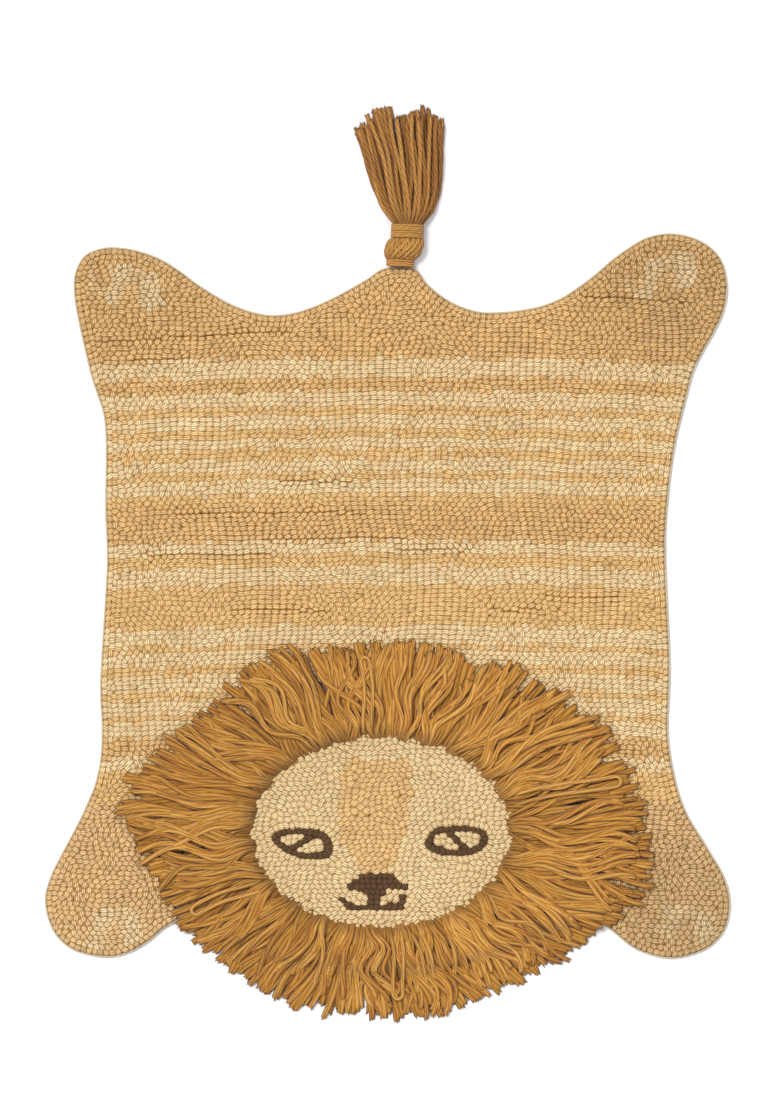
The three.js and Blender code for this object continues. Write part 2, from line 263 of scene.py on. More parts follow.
rings = [drawn_in(hem - HEM_BEVEL, HEM_THICKNESS), drawn_in(hem, 0.0)]
rings.extend(drawn_in(inset, height) for inset, height in HEM_SECTION)
ring_starts = np.arange(len(rings) - 1)[:, None] * len(outline)
step = np.arange(len(outline))[None]
step_on = (step + 1) % len(outline)
band = np.stack((
    ring_starts + step,
    ring_starts + step_on,
    ring_starts + len(outline) + step_on,
    ring_starts + len(outline) + step,
), axis=-1).reshape(-1, 4)
underside = np.arange(len(outline))[::-1][None]
upper_side = (np.arange(len(outline)) + (len(rings) - 1) * len(outline))[None]

# Canvas: two sets of threads cross over and under each other, a little uneven in colour. The hollows between
# them carry painted shade: the colour darkens towards CANVAS_SHADE where the weave sinks.
canvas, tree, shader = start_material("ground_canvas", Roughness=0.92, Specular_IOR_Level=0.25)
place = add_node(tree, "ShaderNodeTexCoord").outputs["Object"]
warp, weft = [
    add_node(tree, "ShaderNodeTexWave",
             {"Vector": place, "Scale": WAVE_LENGTH / CANVAS_THREAD, "Distortion": 0.6},
             bands_direction=direction).outputs["Fac"]
    for direction in ("X", "Y")
]
weave = add_math(tree, "MAXIMUM", warp, weft)
slub = add_node(tree, "ShaderNodeTexNoise", {"Vector": place, "Scale": 420.0, "Detail": 3.0})
weave_shade_and_slub = add_math(tree, "MULTIPLY", weave, slub.outputs["Fac"])
# Painted shade in the weave's hollows, mixed with the slubs' uneven colour.
canvas_colour = add_node(tree, "ShaderNodeMix", {0: weave_shade_and_slub}, data_type="RGBA")
canvas_colour.inputs[6].default_value = dye_socket(CANVAS_SHADE)
canvas_colour.inputs[7].default_value = dye_socket(CANVAS)
relief = add_node(tree, "ShaderNodeBump", {"Height": weave, "Strength": 0.6, "Distance": 0.0004})
tree.links.new(canvas_colour.outputs[2], shader.inputs["Base Color"])
tree.links.new(relief.outputs["Normal"], shader.inputs["Normal"])

ground_cloth = make_piece("ground_cloth", np.vstack(rings), (band, underside, upper_side), canvas,
                          ("hooked_mat",))
# The two great faces, above and below, are flat and are shaded flat. The others have four corners.
for face in ground_cloth.data.polygons:
    if face.loop_total > 4:
        face.use_smooth = False


# Hooked pile of the body and legs
# Soft plied wool yarn is pulled up through the canvas with a hook, in loops about 7 mm long and 4.6 mm wide
# that are left uncut. Two rows follow the outline, and the rest run across the body in slightly bowed rows.

# The two rows along the edge, by their distance inside the outline. The outer one keeps clear of the fold.
EDGE_ROWS = (5.0, 9.9)
EDGE_PITCH = 5.8
FOLD_ROOM = 2.7
FENCE_PITCH = 3.0
# The rows across the body. They are bowed upwards in the middle.
FIRST_ROW = 322.0
LAST_ROW = -402.0
ROWS_FROM = -350.0
ROW_PITCH = 4.6
LOOP_PITCH = 6.9
COLUMN_PITCH = 7.2
BODY_BOW = 6.0
BOW_HALF = 290.0
# Most loops slant up to the right, and in some patches up to the left. In columns they lie flatter.
RIGHT_SLANT = 0.62
LEFT_SLANT = -0.55
COLUMN_SLANT = 0.30
UNEVEN_SLANT = 0.25
# A loop has this many corners. It spreads among its neighbours, further along its slant than across it.
LOOP_SIDES = 8
LOOP_NEIGHBOURS = 16
LOOP_STRETCH = 1.28
LOOP_REACH = 5.2
SETTLING_ROUNDS = 3
# It rises from the cloth, leans a little to the lower right, more or less, and is arched along its slant.
LOOP_GROUND = 1.9
LOOP_LEAN = (0.08, -0.10)
UNEVEN_LEAN = 0.20
LOOP_ARCH = 0.045
# Its colour carries painted shade: it is darkest, and warmest in colour, where it sinks between its
# neighbours, and its crown has a slight painted highlight.
LOOP_RINGS = np.array((
    # share of the height, share of the width, red, green, blue
    (0.72, 1.42, 0.56, 0.42, 0.25),
    (0.885, 1.00, 0.68, 0.56, 0.39),
    (0.945, 0.88, 0.98, 0.95, 0.90),
    (0.995, 0.45, 1.04, 1.04, 1.04),
))
# Along the mat's edge a loop goes down to this share of its height, at the fold. Where a place lies past the
# edge, the mat's upper side counts as this high there.
EDGE_FOOT = 0.40
EDGE_TOP = 8.5
YARNS = {
    "tan": (239, 203, 151),
    "cream": (252, 229, 191),
    "gold": (244, 209, 155),
    "toe": (254, 236, 205),
    "leg": (241, 208, 162),
}
STRIPES = (
    # upper edge, yarn
    (400.0, "tan"),
    (197.5, "cream"),
    (179.5, "tan"),
    (164.5, "cream"),
    (149.5, "gold"),
    (140.5, "cream"),
    (128.5, "gold"),
    (118.5, "cream"),
    (107.5, "gold"),
    (97.5, "cream"),
    (84.5, "gold"),
    (76.5, "cream"),
    (62.5, "gold"),
    (52.5, "tan"),
    (15.5, "cream"),
    (2.5, "gold"),
    (-9.5, "cream"),
    (-27.5, "gold"),
    (-69.5, "cream"),
    (-87.5, "gold"),
    (-93.5, "cream"),
    (-107.5, "gold"),
    (-116.5, "cream"),
    (-132.5, "gold"),
    (-140.5, "cream"),
    (-155.5, "gold"),
    (-162.5, "cream"),
    (-177.5, "tan"),
    (-197.5, "cream"),
    (-210.5, "gold"),
    (-240.0, "leg"),
)
TOES = (
    # middle x, middle y, half width, half length, slant
    (-258.5, 275.0, 42.0, 22.0, -0.18),
    (276.0, 287.0, 42.0, 21.0, 0.22),
    (-277.0, -368.0, 38.0, 22.0, 0.10),
    (295.0, -362.0, 38.0, 18.0, -0.10),
)
TOE_SHARE = 0.80
# Painted shade: the yarn on these paws is painted darker, for the weaker light that falls on them.
SHADED_PAWS = (
    # middle x, middle y, radius, light kept
    (-258.0, 285.0, 75.0, 0.92),
    (285.0, 285.0, 75.0, 0.84),
    (300.0, -350.0, 75.0, 0.81),
)
# Where two rows stand a little apart, a dark furrow shows between them, and the loops beside it carry deeper
# painted shade.
FURROWS = (
    # from x, to x, y at its left end, rise for each millimetre
    (-291.0, -185.0, 220.5, 0.05),
    (-180.0, -95.0, 227.0, 0.03),
    (-262.0, -200.0, 201.0, 0.03),
    (-109.0, -35.0, 80.0, 0.01),
    (-214.0, -100.0, 46.5, 0.02),
    (-95.0, -20.0, 49.0, 0.0),
    (-126.0, 22.0, 22.5, 0.01),
    (-250.0, -110.0, 7.0, 0.0),
    (5.0, 83.0, 11.0, 0.01),
    (-157.0, -60.0, -48.0, -0.01),
    (98.0, 152.0, -48.0, 0.0),
    (160.0, 232.0, -34.5, 0.0),
    (195.0, 300.0, 266.5, -0.06),
)
# Rows this near a furrow are pushed apart by this much at most.
FURROW_NEAR = 9.0
FURROW_PUSH = 0.9
# Loops this near it are held back from it to its half width, and are moved by this much at most.
FURROW_BESIDE = 4.5
FURROW_WIDTH = 0.3
FURROW_SHIFT = 0.9
# How dark the painted shade is in the creases round a loop of pale yarn, in the outer row, and beside a
# furrow. At one it is as dark as the rings above.
PALE_CREASE = 0.71
EDGE_CREASE = 0.36
FURROW_CREASE = 1.5
# The face's oval and the mane's rim round it. The body has no loops inside this share of the oval, nor
# under the mane, more than this far inside its rim.
FACE_MIDDLE = np.array((-6.5, -270.5))
FACE_HALF = np.array((128.5, 94.5))
MANE_COVER = (1.16, 40.0)
MANE_RIM = np.array((
    # angle round the face from its right side, distance from the face's middle
    (0, 268), (12, 257), (24, 249), (36, 229), (48, 215), (60, 191), (72, 197), (84, 191), (96, 191),
    (108, 198), (120, 204), (132, 212), (144, 213), (156, 231), (164, 240), (168, 262), (171, 250),
    (174, 265), (178, 249), (184, 246), (192, 230), (204, 228), (216, 210), (228, 199), (240, 194),
    (252, 190), (264, 188), (276, 188), (288, 190), (300, 192), (312, 204), (324, 218), (336, 245),
    (348, 270), (360, 268),
), float)


def patchy(x, y, size, seed):
    """Smooth uneven patches of about this size, mostly between -1 and 1."""
    rng = np.random.default_rng(seed)
    total = np.zeros(np.broadcast(x, y).shape)
    for _ in range(6):
        heading, phase = rng.uniform(0, 2 * np.pi, 2)
        turns = 2 * np.pi / (size * rng.uniform(1.2, 2.6))
        total += np.sin(turns * (x * np.cos(heading) + y * np.sin(heading)) + phase)
    return total / 2.4


def vary(colours, by, rng):
    """The colours, each a little lighter or darker at random."""
    return colours * (1 + rng.normal(0, by, (len(colours), 1)))


def across_bow(x):
    """How much further up the mat a row lies here than at the flanks."""
    return BODY_BOW * (1 - np.clip(np.abs(x) / BOW_HALF, 0, 1) ** 2)


def mane_reach(x, y):
    """A point's distance from the face's middle, and the mane rim's distance in the same direction."""
    from_face = np.column_stack((x, y)) - FACE_MIDDLE
    angle = np.degrees(np.arctan2(from_face[:, 1], from_face[:, 0])) % 360
    return np.linalg.norm(from_face, axis=1), np.interp(angle, MANE_RIM[:, 0], MANE_RIM[:, 1])


def seeds_along_edge(inset, pitch, rng):
    """Loops in a row that follows the outline, a given distance inside it."""
    fine = even_steps(outline, 0.5)
    row = fine + inward(fine) * inset
    row = row[depth_inside(row, outline) > inset - 0.3]
    seeds = [row[0]]
    wanted = pitch
    for spot in row:
        if np.linalg.norm(spot - seeds[-1]) >= wanted and np.linalg.norm(spot - seeds[0]) > pitch * 0.6:
            seeds.append(spot)
            wanted = pitch * rng.uniform(0.85, 1.15)
    return np.array(seeds)


def seeds_in_rows(rng):
    """Loops in rows across the body. In some patches they also stand in columns. Furrows push rows apart."""
    seeds = []
    level = FIRST_ROW
    while level > LAST_ROW:
        x = np.cumsum(rng.uniform(LOOP_PITCH - 1.6, LOOP_PITCH + 1.6, 104))
        x = x + ROWS_FROM - rng.uniform(0, LOOP_PITCH)
        columns = np.arange(-46, 47) * COLUMN_PITCH + 3.5 * patchy(0, level, size=70, seed=12)
        columns = columns + rng.uniform(-0.8, 0.8, len(columns))
        x = np.sort(np.concatenate((x[~in_columns(x, level)], columns[in_columns(columns, level)])))
        # Loops that would stand too close are left out, and wide gaps get one more.
        x = x[np.concatenate(([True], np.diff(x) > 0.55 * LOOP_PITCH))]
        wide = np.flatnonzero(np.diff(x) > 1.5 * LOOP_PITCH)
        x = np.sort(np.concatenate((x, (x[wide] + x[wide + 1]) / 2)))
        y = level + across_bow(x) + 1.3 * patchy(x, level, size=60, seed=5)
        y = y + np.where(in_columns(x, level), 0.35, 0.95) * rng.uniform(-1, 1, len(x))
        for start, end, furrow, rise in FURROWS:
            off_line = y - furrow - rise * (x - start)
            near = (x > start) & (x < end) & (np.abs(off_line) < FURROW_NEAR)
            push = np.sign(off_line) * FURROW_PUSH * (1 - np.abs(off_line) / FURROW_NEAR)
            y = y + np.where(near, push, 0)
        seeds.append(np.column_stack((x, y)))
        level -= ROW_PITCH * rng.uniform(0.95, 1.05)
    return np.vstack(seeds)


def in_columns(x, y):
    """Whether loops stand in columns here. They hardly do on the paws."""
    on_paw = (np.abs(x) > 205) & (np.abs(y - 5) > 205)
    return patchy(x, y, size=62, seed=11) > np.where(on_paw, 0.75, 0.2)


def settle(seeds, fence, slants, held):
    """Loops push each other apart until they fill the cloth evenly. The first ones are held in place."""
    for _ in range(SETTLING_ROUNDS):
        middles = loop_cells(seeds, fence, slants).mean(axis=1)
        seeds = np.vstack((seeds[:held], (0.4 * seeds + 0.6 * middles)[held:]))
    return seeds


def loop_cells(seeds, fence, slants):
    """The room each loop has among its neighbours, as points round it. It is longer along its slant."""
    everything = np.vstack((seeds, fence))
    tree = KDTree(len(everything))
    for index, (x, y) in enumerate(everything):
        tree.insert((x, y, 0), index)
    tree.balance()
    near = [[found[1] for found in tree.find_n((x, y, 0), LOOP_NEIGHBOURS + 1)[1:]] for x, y in seeds]
    near = np.array(near)
    offsets = everything[near] - seeds[:, None]
    cos, sin = np.cos(slants)[:, None], np.sin(slants)[:, None]
    along = (offsets[..., 0] * cos + offsets[..., 1] * sin) / LOOP_STRETCH
    across = -offsets[..., 0] * sin + offsets[..., 1] * cos
    heading = (np.arange(LOOP_SIDES) + 0.5) * 2 * np.pi / LOOP_SIDES
    towards = along[..., None] * np.cos(heading) + across[..., None] * np.sin(heading)
    half_way = ((along**2 + across**2) / 2)[..., None]
    reach = np.where(towards > 1e-6, half_way / np.maximum(towards, 1e-6), np.inf).min(axis=1)
    reach = np.minimum(reach, LOOP_REACH)
    # A corner that sticks out between two neighbours is drawn in.
    eased = 0.25 * np.roll(reach, 1, axis=1) + 0.5 * reach + 0.25 * np.roll(reach, -1, axis=1)
    reach = np.minimum(reach, eased + 0.25)
    along = reach * np.cos(heading) * LOOP_STRETCH
    across = reach * np.sin(heading)
    return seeds[:, None] + np.stack((along * cos - across * sin, along * sin + across * cos), axis=-1)


def open_furrows(cells, seeds):
    """Holds the loops beside a furrow back from it. Tells which loops they are."""
    beside_any = np.zeros(len(seeds), bool)
    for start, end, furrow, rise in FURROWS:
        off_line = seeds[:, 1] - furrow - rise * (seeds[:, 0] - start)
        beside = (seeds[:, 0] > start) & (seeds[:, 0] < end) & (np.abs(off_line) < FURROW_BESIDE)
        line = furrow + rise * (cells[..., 0] - start)
        line = line + 0.9 * patchy(cells[..., 0], furrow, size=9, seed=61)
        above = off_line > 0
        held = np.where(above[:, None], np.maximum(cells[..., 1], line + FURROW_WIDTH),
                        np.minimum(cells[..., 1], line - FURROW_WIDTH))
        shift = np.clip(held - cells[..., 1], -FURROW_SHIFT, FURROW_SHIFT)
        cells[..., 1] += np.where(beside[:, None], shift, 0)
        beside_any |= beside
    return cells, beside_any


def hook_loops(name, cells, slants, tops, feet, creases, colours, material, rng):
    """Makes one piece of loops from their cells. Each is a soft dome, arched along its slant and leaning."""
    count = len(cells)
    middles = cells.mean(axis=1)
    spread = cells - middles[:, None]
    tilt = rng.normal(0, UNEVEN_LEAN, (count, 2)) + LOOP_LEAN
    axis = np.column_stack((np.cos(slants), np.sin(slants)))
    points, shades = [], []
    for ring, (height, width, *shade) in enumerate(LOOP_RINGS):
        flat = spread * width
        lean = (flat * tilt[:, None]).sum(axis=2) * height
        arch = LOOP_ARCH * (flat * axis[:, None]).sum(axis=2) ** 2 * height
        share = feet[:, None] if ring == 0 else height
        rise = LOOP_GROUND + (tops[:, None] - LOOP_GROUND) * share + lean - arch
        points.append(np.dstack((middles[:, None] + flat, rise)))
        shades.append(np.broadcast_to(shade, (count, LOOP_SIDES, 3)))
    points.append(np.dstack((middles[:, None], tops[:, None, None])))
    shades.append(np.broadcast_to(LOOP_RINGS[-1, 2:], (count, 1, 3)))
    points = np.concatenate(points, axis=1)
    shades = np.concatenate(shades, axis=1)
    each = points.shape[1]
    side = np.arange(LOOP_SIDES)
    side_on = (side + 1) % LOOP_SIDES
    quads = []
    for ring in range(len(LOOP_RINGS) - 1):
        low = ring * LOOP_SIDES
        high = low + LOOP_SIDES
        quads.append(np.column_stack((low + side, low + side_on, high + side_on, high + side)))
    quads = np.vstack(quads)
    last = (len(LOOP_RINGS) - 1) * LOOP_SIDES
    caps = np.column_stack((last + side, last + side_on, np.full(LOOP_SIDES, each - 1)))
    starts = (np.arange(count) * each)[:, None, None]
    flat = points[..., :2] - middles[:, None]
    lie = np.dstack((
        (flat * axis[:, None]).sum(axis=2),
        flat[..., 1] * axis[:, None, 0] - flat[..., 0] * axis[:, None, 1],
        np.repeat(rng.uniform(0, 100, (count, 1)), each, axis=1),
    ))
    # The rings' painted shade and highlight, made deeper or lighter for each loop by its crease setting.
    paint = np.clip(colours[:, None] * shades ** creases[:, None, None], 0, 1)
    return make_piece(
        name, points.reshape(-1, 3),
        ((quads[None] + starts).reshape(-1, 4), (caps[None] + starts).reshape(-1, 3)),
        material, ("hooked_mat",), paint.reshape(-1, 3), lie.reshape(-1, 3),
    )


def start_top(node):
    """Prepares to find the height of the mat's upper side at any place. Past its edge it is the edge's."""
    mesh = frame["nodes"][node].data
    tree = BVHTree.FromPolygons([v.co for v in mesh.vertices], [p.vertices for p in mesh.polygons])

    def top_at(seeds):
        heights = []
        for x, y in (seeds + CENTRING[:2]) * MILLIMETRE:
            hit = tree.ray_cast(Vector((x, y, 1)), Vector((0, 0, -1)))[0]
            heights.append(EDGE_TOP if hit is None else hit.z / MILLIMETRE)
        return np.array(heights)

    return top_at


# Yarn: plies lie side by side or wind round each other, and each is a bundle of fine fibres. A fibre's
# streaks are drawn out along the yarn, and stand up less than the plies do.
FIBRE_LENGTHENING = 0.22
FIBRE_RELIEF = 0.55
YARN_PLIES, tree_in, tree_out = start_group(
    "yarn_plies",
    (("Lie", "NodeSocketVector", None), ("Plies", "NodeSocketFloat", 3.0), ("Turn", "NodeSocketFloat", 0.02),
     ("Fibre", "NodeSocketFloat", 1.0)),
    (("Height", "NodeSocketFloat"), ("Groove", "NodeSocketFloat"), ("Streak", "NodeSocketFloat")),
)
lie_parts = add_node(YARN_PLIES, "ShaderNodeSeparateXYZ", {0: tree_in.outputs["Lie"]})
wound = add_math(YARN_PLIES, "MULTIPLY", lie_parts.outputs["X"], tree_in.outputs["Turn"])
spread_out = add_math(YARN_PLIES, "MULTIPLY_ADD", lie_parts.outputs["Y"], tree_in.outputs["Plies"], wound)
half_turns = add_math(YARN_PLIES, "MULTIPLY", spread_out, np.pi)
ply = add_math(YARN_PLIES, "ABSOLUTE", add_math(YARN_PLIES, "SINE", half_turns))
groove = add_node(YARN_PLIES, "ShaderNodeMapRange", {"Value": ply, "From Min": 0.0, "From Max": 0.60},
                  interpolation_type="SMOOTHSTEP")
fibre_along = add_math(YARN_PLIES, "MULTIPLY", lie_parts.outputs["X"], FIBRE_LENGTHENING)
fibre_across = add_math(YARN_PLIES, "MULTIPLY", lie_parts.outputs["Y"], tree_in.outputs["Fibre"])
fibre_place = add_node(YARN_PLIES, "ShaderNodeCombineXYZ",
                       {"X": fibre_along, "Y": fibre_across, "Z": lie_parts.outputs["Z"]})
streak = add_node(YARN_PLIES, "ShaderNodeTexNoise",
                  {"Vector": fibre_place.outputs[0], "Scale": 1.0, "Detail": 3.0, "Roughness": 0.6})
height = add_math(YARN_PLIES, "MULTIPLY_ADD", streak.outputs["Fac"], FIBRE_RELIEF, ply)
YARN_PLIES.links.new(height, tree_out.inputs["Height"])
YARN_PLIES.links.new(groove.outputs["Result"], tree_out.inputs["Groove"])
YARN_PLIES.links.new(streak.outputs["Fac"], tree_out.inputs["Streak"])

# Dye and painted shade: hand-dyed wool takes its colour unevenly, in soft patches over the mat and in streaks
# on each yarn, and the grooves between its plies are painted darker, as painted shade. Where the colour is
# darker, from the dye or from the painted shade, it is warmer as well: green falls faster than red, and blue
# faster.
GREEN_FALL = 1.25
BLUE_FALL = 1.9
DYE_AND_GROOVE_SHADE, tree_in, tree_out = start_group(
    "dye_and_groove_shade",
    (("Colour", "NodeSocketColor", None), ("Patch Scale", "NodeSocketFloat", 12.0),
     ("Patch Depth", "NodeSocketFloat", 0.2), ("Streak", "NodeSocketFloat", 0.5),
     ("Streak Depth", "NodeSocketFloat", 0.3), ("Groove", "NodeSocketFloat", 1.0),
     ("Groove Depth", "NodeSocketFloat", 0.4)),
    (("Colour", "NodeSocketColor"),),
)
place = add_node(DYE_AND_GROOVE_SHADE, "ShaderNodeTexCoord").outputs["Object"]
patch = add_node(DYE_AND_GROOVE_SHADE, "ShaderNodeTexNoise",
                 {"Vector": place, "Scale": tree_in.outputs["Patch Scale"], "Detail": 2.0})


def light_share(value, depth):
    """One less the depth times how far the value is from one."""
    missing = add_math(DYE_AND_GROOVE_SHADE, "SUBTRACT", 1.0, value)
    lost = add_math(DYE_AND_GROOVE_SHADE, "MULTIPLY", missing, depth)
    return add_math(DYE_AND_GROOVE_SHADE, "SUBTRACT", 1.0, lost)


kept = light_share(patch.outputs["Fac"], tree_in.outputs["Patch Depth"])
for value, depth in (("Streak", "Streak Depth"), ("Groove", "Groove Depth")):
    share = light_share(tree_in.outputs[value], tree_in.outputs[depth])
    kept = add_math(DYE_AND_GROOVE_SHADE, "MULTIPLY", kept, share)
green = add_math(DYE_AND_GROOVE_SHADE, "POWER", kept, GREEN_FALL)
blue = add_math(DYE_AND_GROOVE_SHADE, "POWER", kept, BLUE_FALL)
by_part = add_node(DYE_AND_GROOVE_SHADE, "ShaderNodeCombineColor", {0: kept, 1: green, 2: blue})
dyed = add_node(DYE_AND_GROOVE_SHADE, "ShaderNodeMix", {0: 1.0, 6: tree_in.outputs["Colour"], 7: by_part.outputs[0]},
                data_type="RGBA", blend_type="MULTIPLY")
DYE_AND_GROOVE_SHADE.links.new(dyed.outputs[2], tree_out.inputs["Colour"])


def yarn_material(name, plies, turn, fibre, patch_depth, streak_depth, groove_depth, relief, sheen,
                  roughness):
    """Wool yarn, coloured by its dye and by painted shade in its ply grooves, and marked by its plies and
    fibres. Roughness is its least and most.
    """
    material, tree, shader = start_material(name, Specular_IOR_Level=0.08, Sheen_Weight=sheen,
                                            Sheen_Roughness=0.6)
    lie = add_node(tree, "ShaderNodeAttribute", attribute_name="yarn_lie").outputs["Vector"]
    colour = add_node(tree, "ShaderNodeAttribute", attribute_name="yarn_colour_and_shade").outputs["Color"]
    plies_here = add_node(tree, "ShaderNodeGroup", node_tree=YARN_PLIES,
                          inputs={"Lie": lie, "Plies": plies, "Turn": turn, "Fibre": fibre})
    dye_and_shade_here = add_node(tree, "ShaderNodeGroup", node_tree=DYE_AND_GROOVE_SHADE, inputs={
        "Colour": colour,
        "Patch Depth": patch_depth,
        "Streak": plies_here.outputs["Streak"],
        "Streak Depth": streak_depth,
        "Groove": plies_here.outputs["Groove"],
        "Groove Depth": groove_depth,
    })
    rough = add_node(tree, "ShaderNodeMapRange",
                     {"Value": plies_here.outputs["Streak"], "To Min": roughness[0], "To Max": roughness[1]})
    bump = add_node(tree, "ShaderNodeBump",
                    {"Height": plies_here.outputs["Height"], "Strength": 0.7, "Distance": relief})
    tree.links.new(dye_and_shade_here.outputs["Colour"], shader.inputs["Base Color"])
    tree.links.new(rough.outputs["Result"], shader.inputs["Roughness"])
    tree.links.new(bump.outputs["Normal"], shader.inputs["Normal"])
    return material


pile_wool = yarn_material("pile_wool", plies=0.42, turn=-0.05, fibre=1.6, patch_depth=0.14, streak_depth=0.30,
                          groove_depth=0.42, relief=0.0016, sheen=0.05, roughness=(0.78, 0.96))

rng = np.random.default_rng(7)
top_at = start_top("hooked_mat")
edge_rows = [seeds_along_edge(inset, EDGE_PITCH, rng) for inset in EDGE_ROWS]
# The fence mirrors the outer row in the fold, so that row's loops reach just as far as the fold.
fence = seeds_along_edge(2 * FOLD_ROOM - EDGE_ROWS[0], FENCE_PITCH, rng)
inner_rows = seeds_in_rows(rng)
inner_rows = inner_rows[depth_inside(inner_rows, outline) > EDGE_ROWS[1] + 0.47 * ROW_PITCH]
body_seeds = np.vstack((*edge_rows, inner_rows))
in_outer_row = np.arange(len(body_seeds)) < len(edge_rows[0])
columned = in_columns(*body_seeds.T) & (np.arange(len(body_seeds)) >= len(np.vstack(edge_rows)))
slants = np.where(patchy(*body_seeds.T, size=46, seed=21) > -0.45, RIGHT_SLANT, LEFT_SLANT)
slants = slants + 0.5 * patchy(*body_seeds.T, size=30, seed=22)
# Towards the sides and on the paws they are turned about more.
slants = slants + 0.9 * patchy(*body_seeds.T, size=26, seed=24) * (np.abs(body_seeds[:, 0]) > 215)
slants = np.where(columned, COLUMN_SLANT + 0.2 * patchy(*body_seeds.T, size=50, seed=23), slants)
slants = slants + rng.normal(0, UNEVEN_SLANT, len(body_seeds))
body_seeds = settle(body_seeds, fence, slants, len(edge_rows[0]))
body_cells, by_furrow = open_furrows(loop_cells(body_seeds, fence, slants), body_seeds)

from_face = np.linalg.norm((body_seeds - FACE_MIDDLE) / FACE_HALF, axis=1)
reach, rim = mane_reach(*body_seeds.T)
hidden = (from_face < MANE_COVER[0]) | (reach < rim - MANE_COVER[1])

stripe_starts = np.array([start for start, _ in STRIPES])
stripe_colours = np.array([dye(YARNS[yarn]) for _, yarn in STRIPES])
level = body_seeds[:, 1] - across_bow(body_seeds[:, 0]) + rng.normal(0, 0.9, len(body_seeds))
stripe = np.clip(np.searchsorted(-stripe_starts, -level) - 1, 0, len(STRIPES) - 1)
body_colours = stripe_colours[stripe]
pale = np.array([yarn in ("cream", "gold") for _, yarn in STRIPES])[stripe]
# How deep each loop's painted crease shade is.
body_creases = np.where(by_furrow, FURROW_CREASE, np.where(pale, PALE_CREASE, 1.0))
body_creases[in_outer_row] = EDGE_CREASE
# Paler yarn is worked into the toes here and there.
for x, y, half_width, half_length, slant in TOES:
    beside = body_seeds[:, 0] - x
    beyond = body_seeds[:, 1] - y - slant * beside
    on_toe = (beside / half_width) ** 2 + (beyond / half_length) ** 2 < 1
    blotch = np.clip(0.55 + 1.1 * patchy(beside * 1.3, beyond * 0.8, size=24, seed=52), 0, 1) * on_toe
    body_colours = body_colours + TOE_SHARE * blotch[:, None] * (dye(YARNS["toe"]) - body_colours)
# Painted shade on these paws.
for x, y, radius, light in SHADED_PAWS:
    away = np.hypot(body_seeds[:, 0] - x, body_seeds[:, 1] - y) / radius
    body_colours = body_colours * (1 - (1 - light) * np.clip(1.6 - away, 0, 1))[:, None]
body_colours = vary(body_colours, 0.06, rng)
body_tops = top_at(body_seeds) + rng.uniform(-0.55, 0.45, len(body_seeds))
body_feet = np.where(in_outer_row, EDGE_FOOT, LOOP_RINGS[0, 0])

BODY_PARTS = (
    # piece, from y, to y
    ("pile_rump", 168.0, 400.0),
    ("pile_back", 38.0, 168.0),
    ("pile_flanks", -92.0, 38.0),
    ("pile_forelegs", -420.0, -92.0),
)
for name, low, high in BODY_PARTS:
    here = (body_seeds[:, 1] >= low) & (body_seeds[:, 1] < high) & ~hidden
    hook_loops(name, body_cells[here], slants[here], body_tops[here], body_feet[here],
                                  body_creases[here], body_colours[here], pile_wool, rng)


# Hooked pile of the face
# The face is hooked in the same way inside an oval: cream, with a tan band for the bridge of the nose, and
# eyes, nose and mouth in single rows of dark brown yarn.
FACE_ROW = 4.5
FACE_PITCH = 6.4
FACE_SLANTS = (0.5, -0.6)
# Loops go on this far past the oval, under the mane, and a fence stands further out.
FACE_MARGIN = 10.0
FACE_FENCE = 14.0
# A row of cream loops stands this far outside each lid.
EYE_ROOM = 6.8
LID_PITCH = 5.3
BAR_PITCH = 5.0
NOSE_PITCH = 6.0
FACE_YARNS = {
    "cream": (252, 229, 190),
    "band": (246, 212, 161),
    "brown": (104, 80, 58),
}
EYES = {
    # points along the lid, anticlockwise from its left end, and the two ends of the slanted bar
    "left": (
        ((-113, -275), (-108.5, -281.5), (-100.5, -287.5), (-89.5, -292.5), (-75.5, -294.3), (-62.5, -293.5),
         (-58, -288.5), (-59.5, -279.5), (-66.5, -273), (-77.5, -270.8), (-91.5, -269.8), (-104.5, -271)),
        ((-95.0, -286.0), (-79.0, -276.6)),
    ),
    "right": (
        ((41, -283.5), (46.5, -287.5), (57.5, -290), (71.5, -290.5), (85.5, -289), (94.5, -283.5),
         (97.5, -275), (90.5, -269.5), (78.5, -267.5), (64.5, -267.3), (51.5, -269), (43.5, -275)),
        ((63.5, -272.5), (77.0, -286.0)),
    ),
}
# The cream loops inside the eyes' lids and beside the mouth.
CREAM_SPOTS = (
    (-104.0, -278.0), (-98.5, -275.6), (-92.7, -275.0), (-87.0, -275.0), (-99.2, -281.2), (-93.5, -279.6),
    (-87.0, -288.0), (-81.0, -289.4), (-80.8, -284.2), (-75.5, -281.8), (-75.0, -287.5), (-69.5, -280.5),
    (-69.0, -286.0), (49.5, -274.8), (55.3, -274.4), (50.0, -280.0), (55.8, -280.0), (61.3, -278.8),
    (61.5, -284.5), (67.2, -284.8), (70.0, -272.3), (75.8, -272.3), (81.6, -272.6), (87.3, -274.2),
    (76.5, -277.6), (82.2, -278.2), (87.5, -280.0), (82.5, -283.4), (-33.5, -337.5), (-27.5, -335.0),
    (-22.8, -337.0), (-3.3, -337.0), (2.5, -335.0), (8.0, -336.5),
)
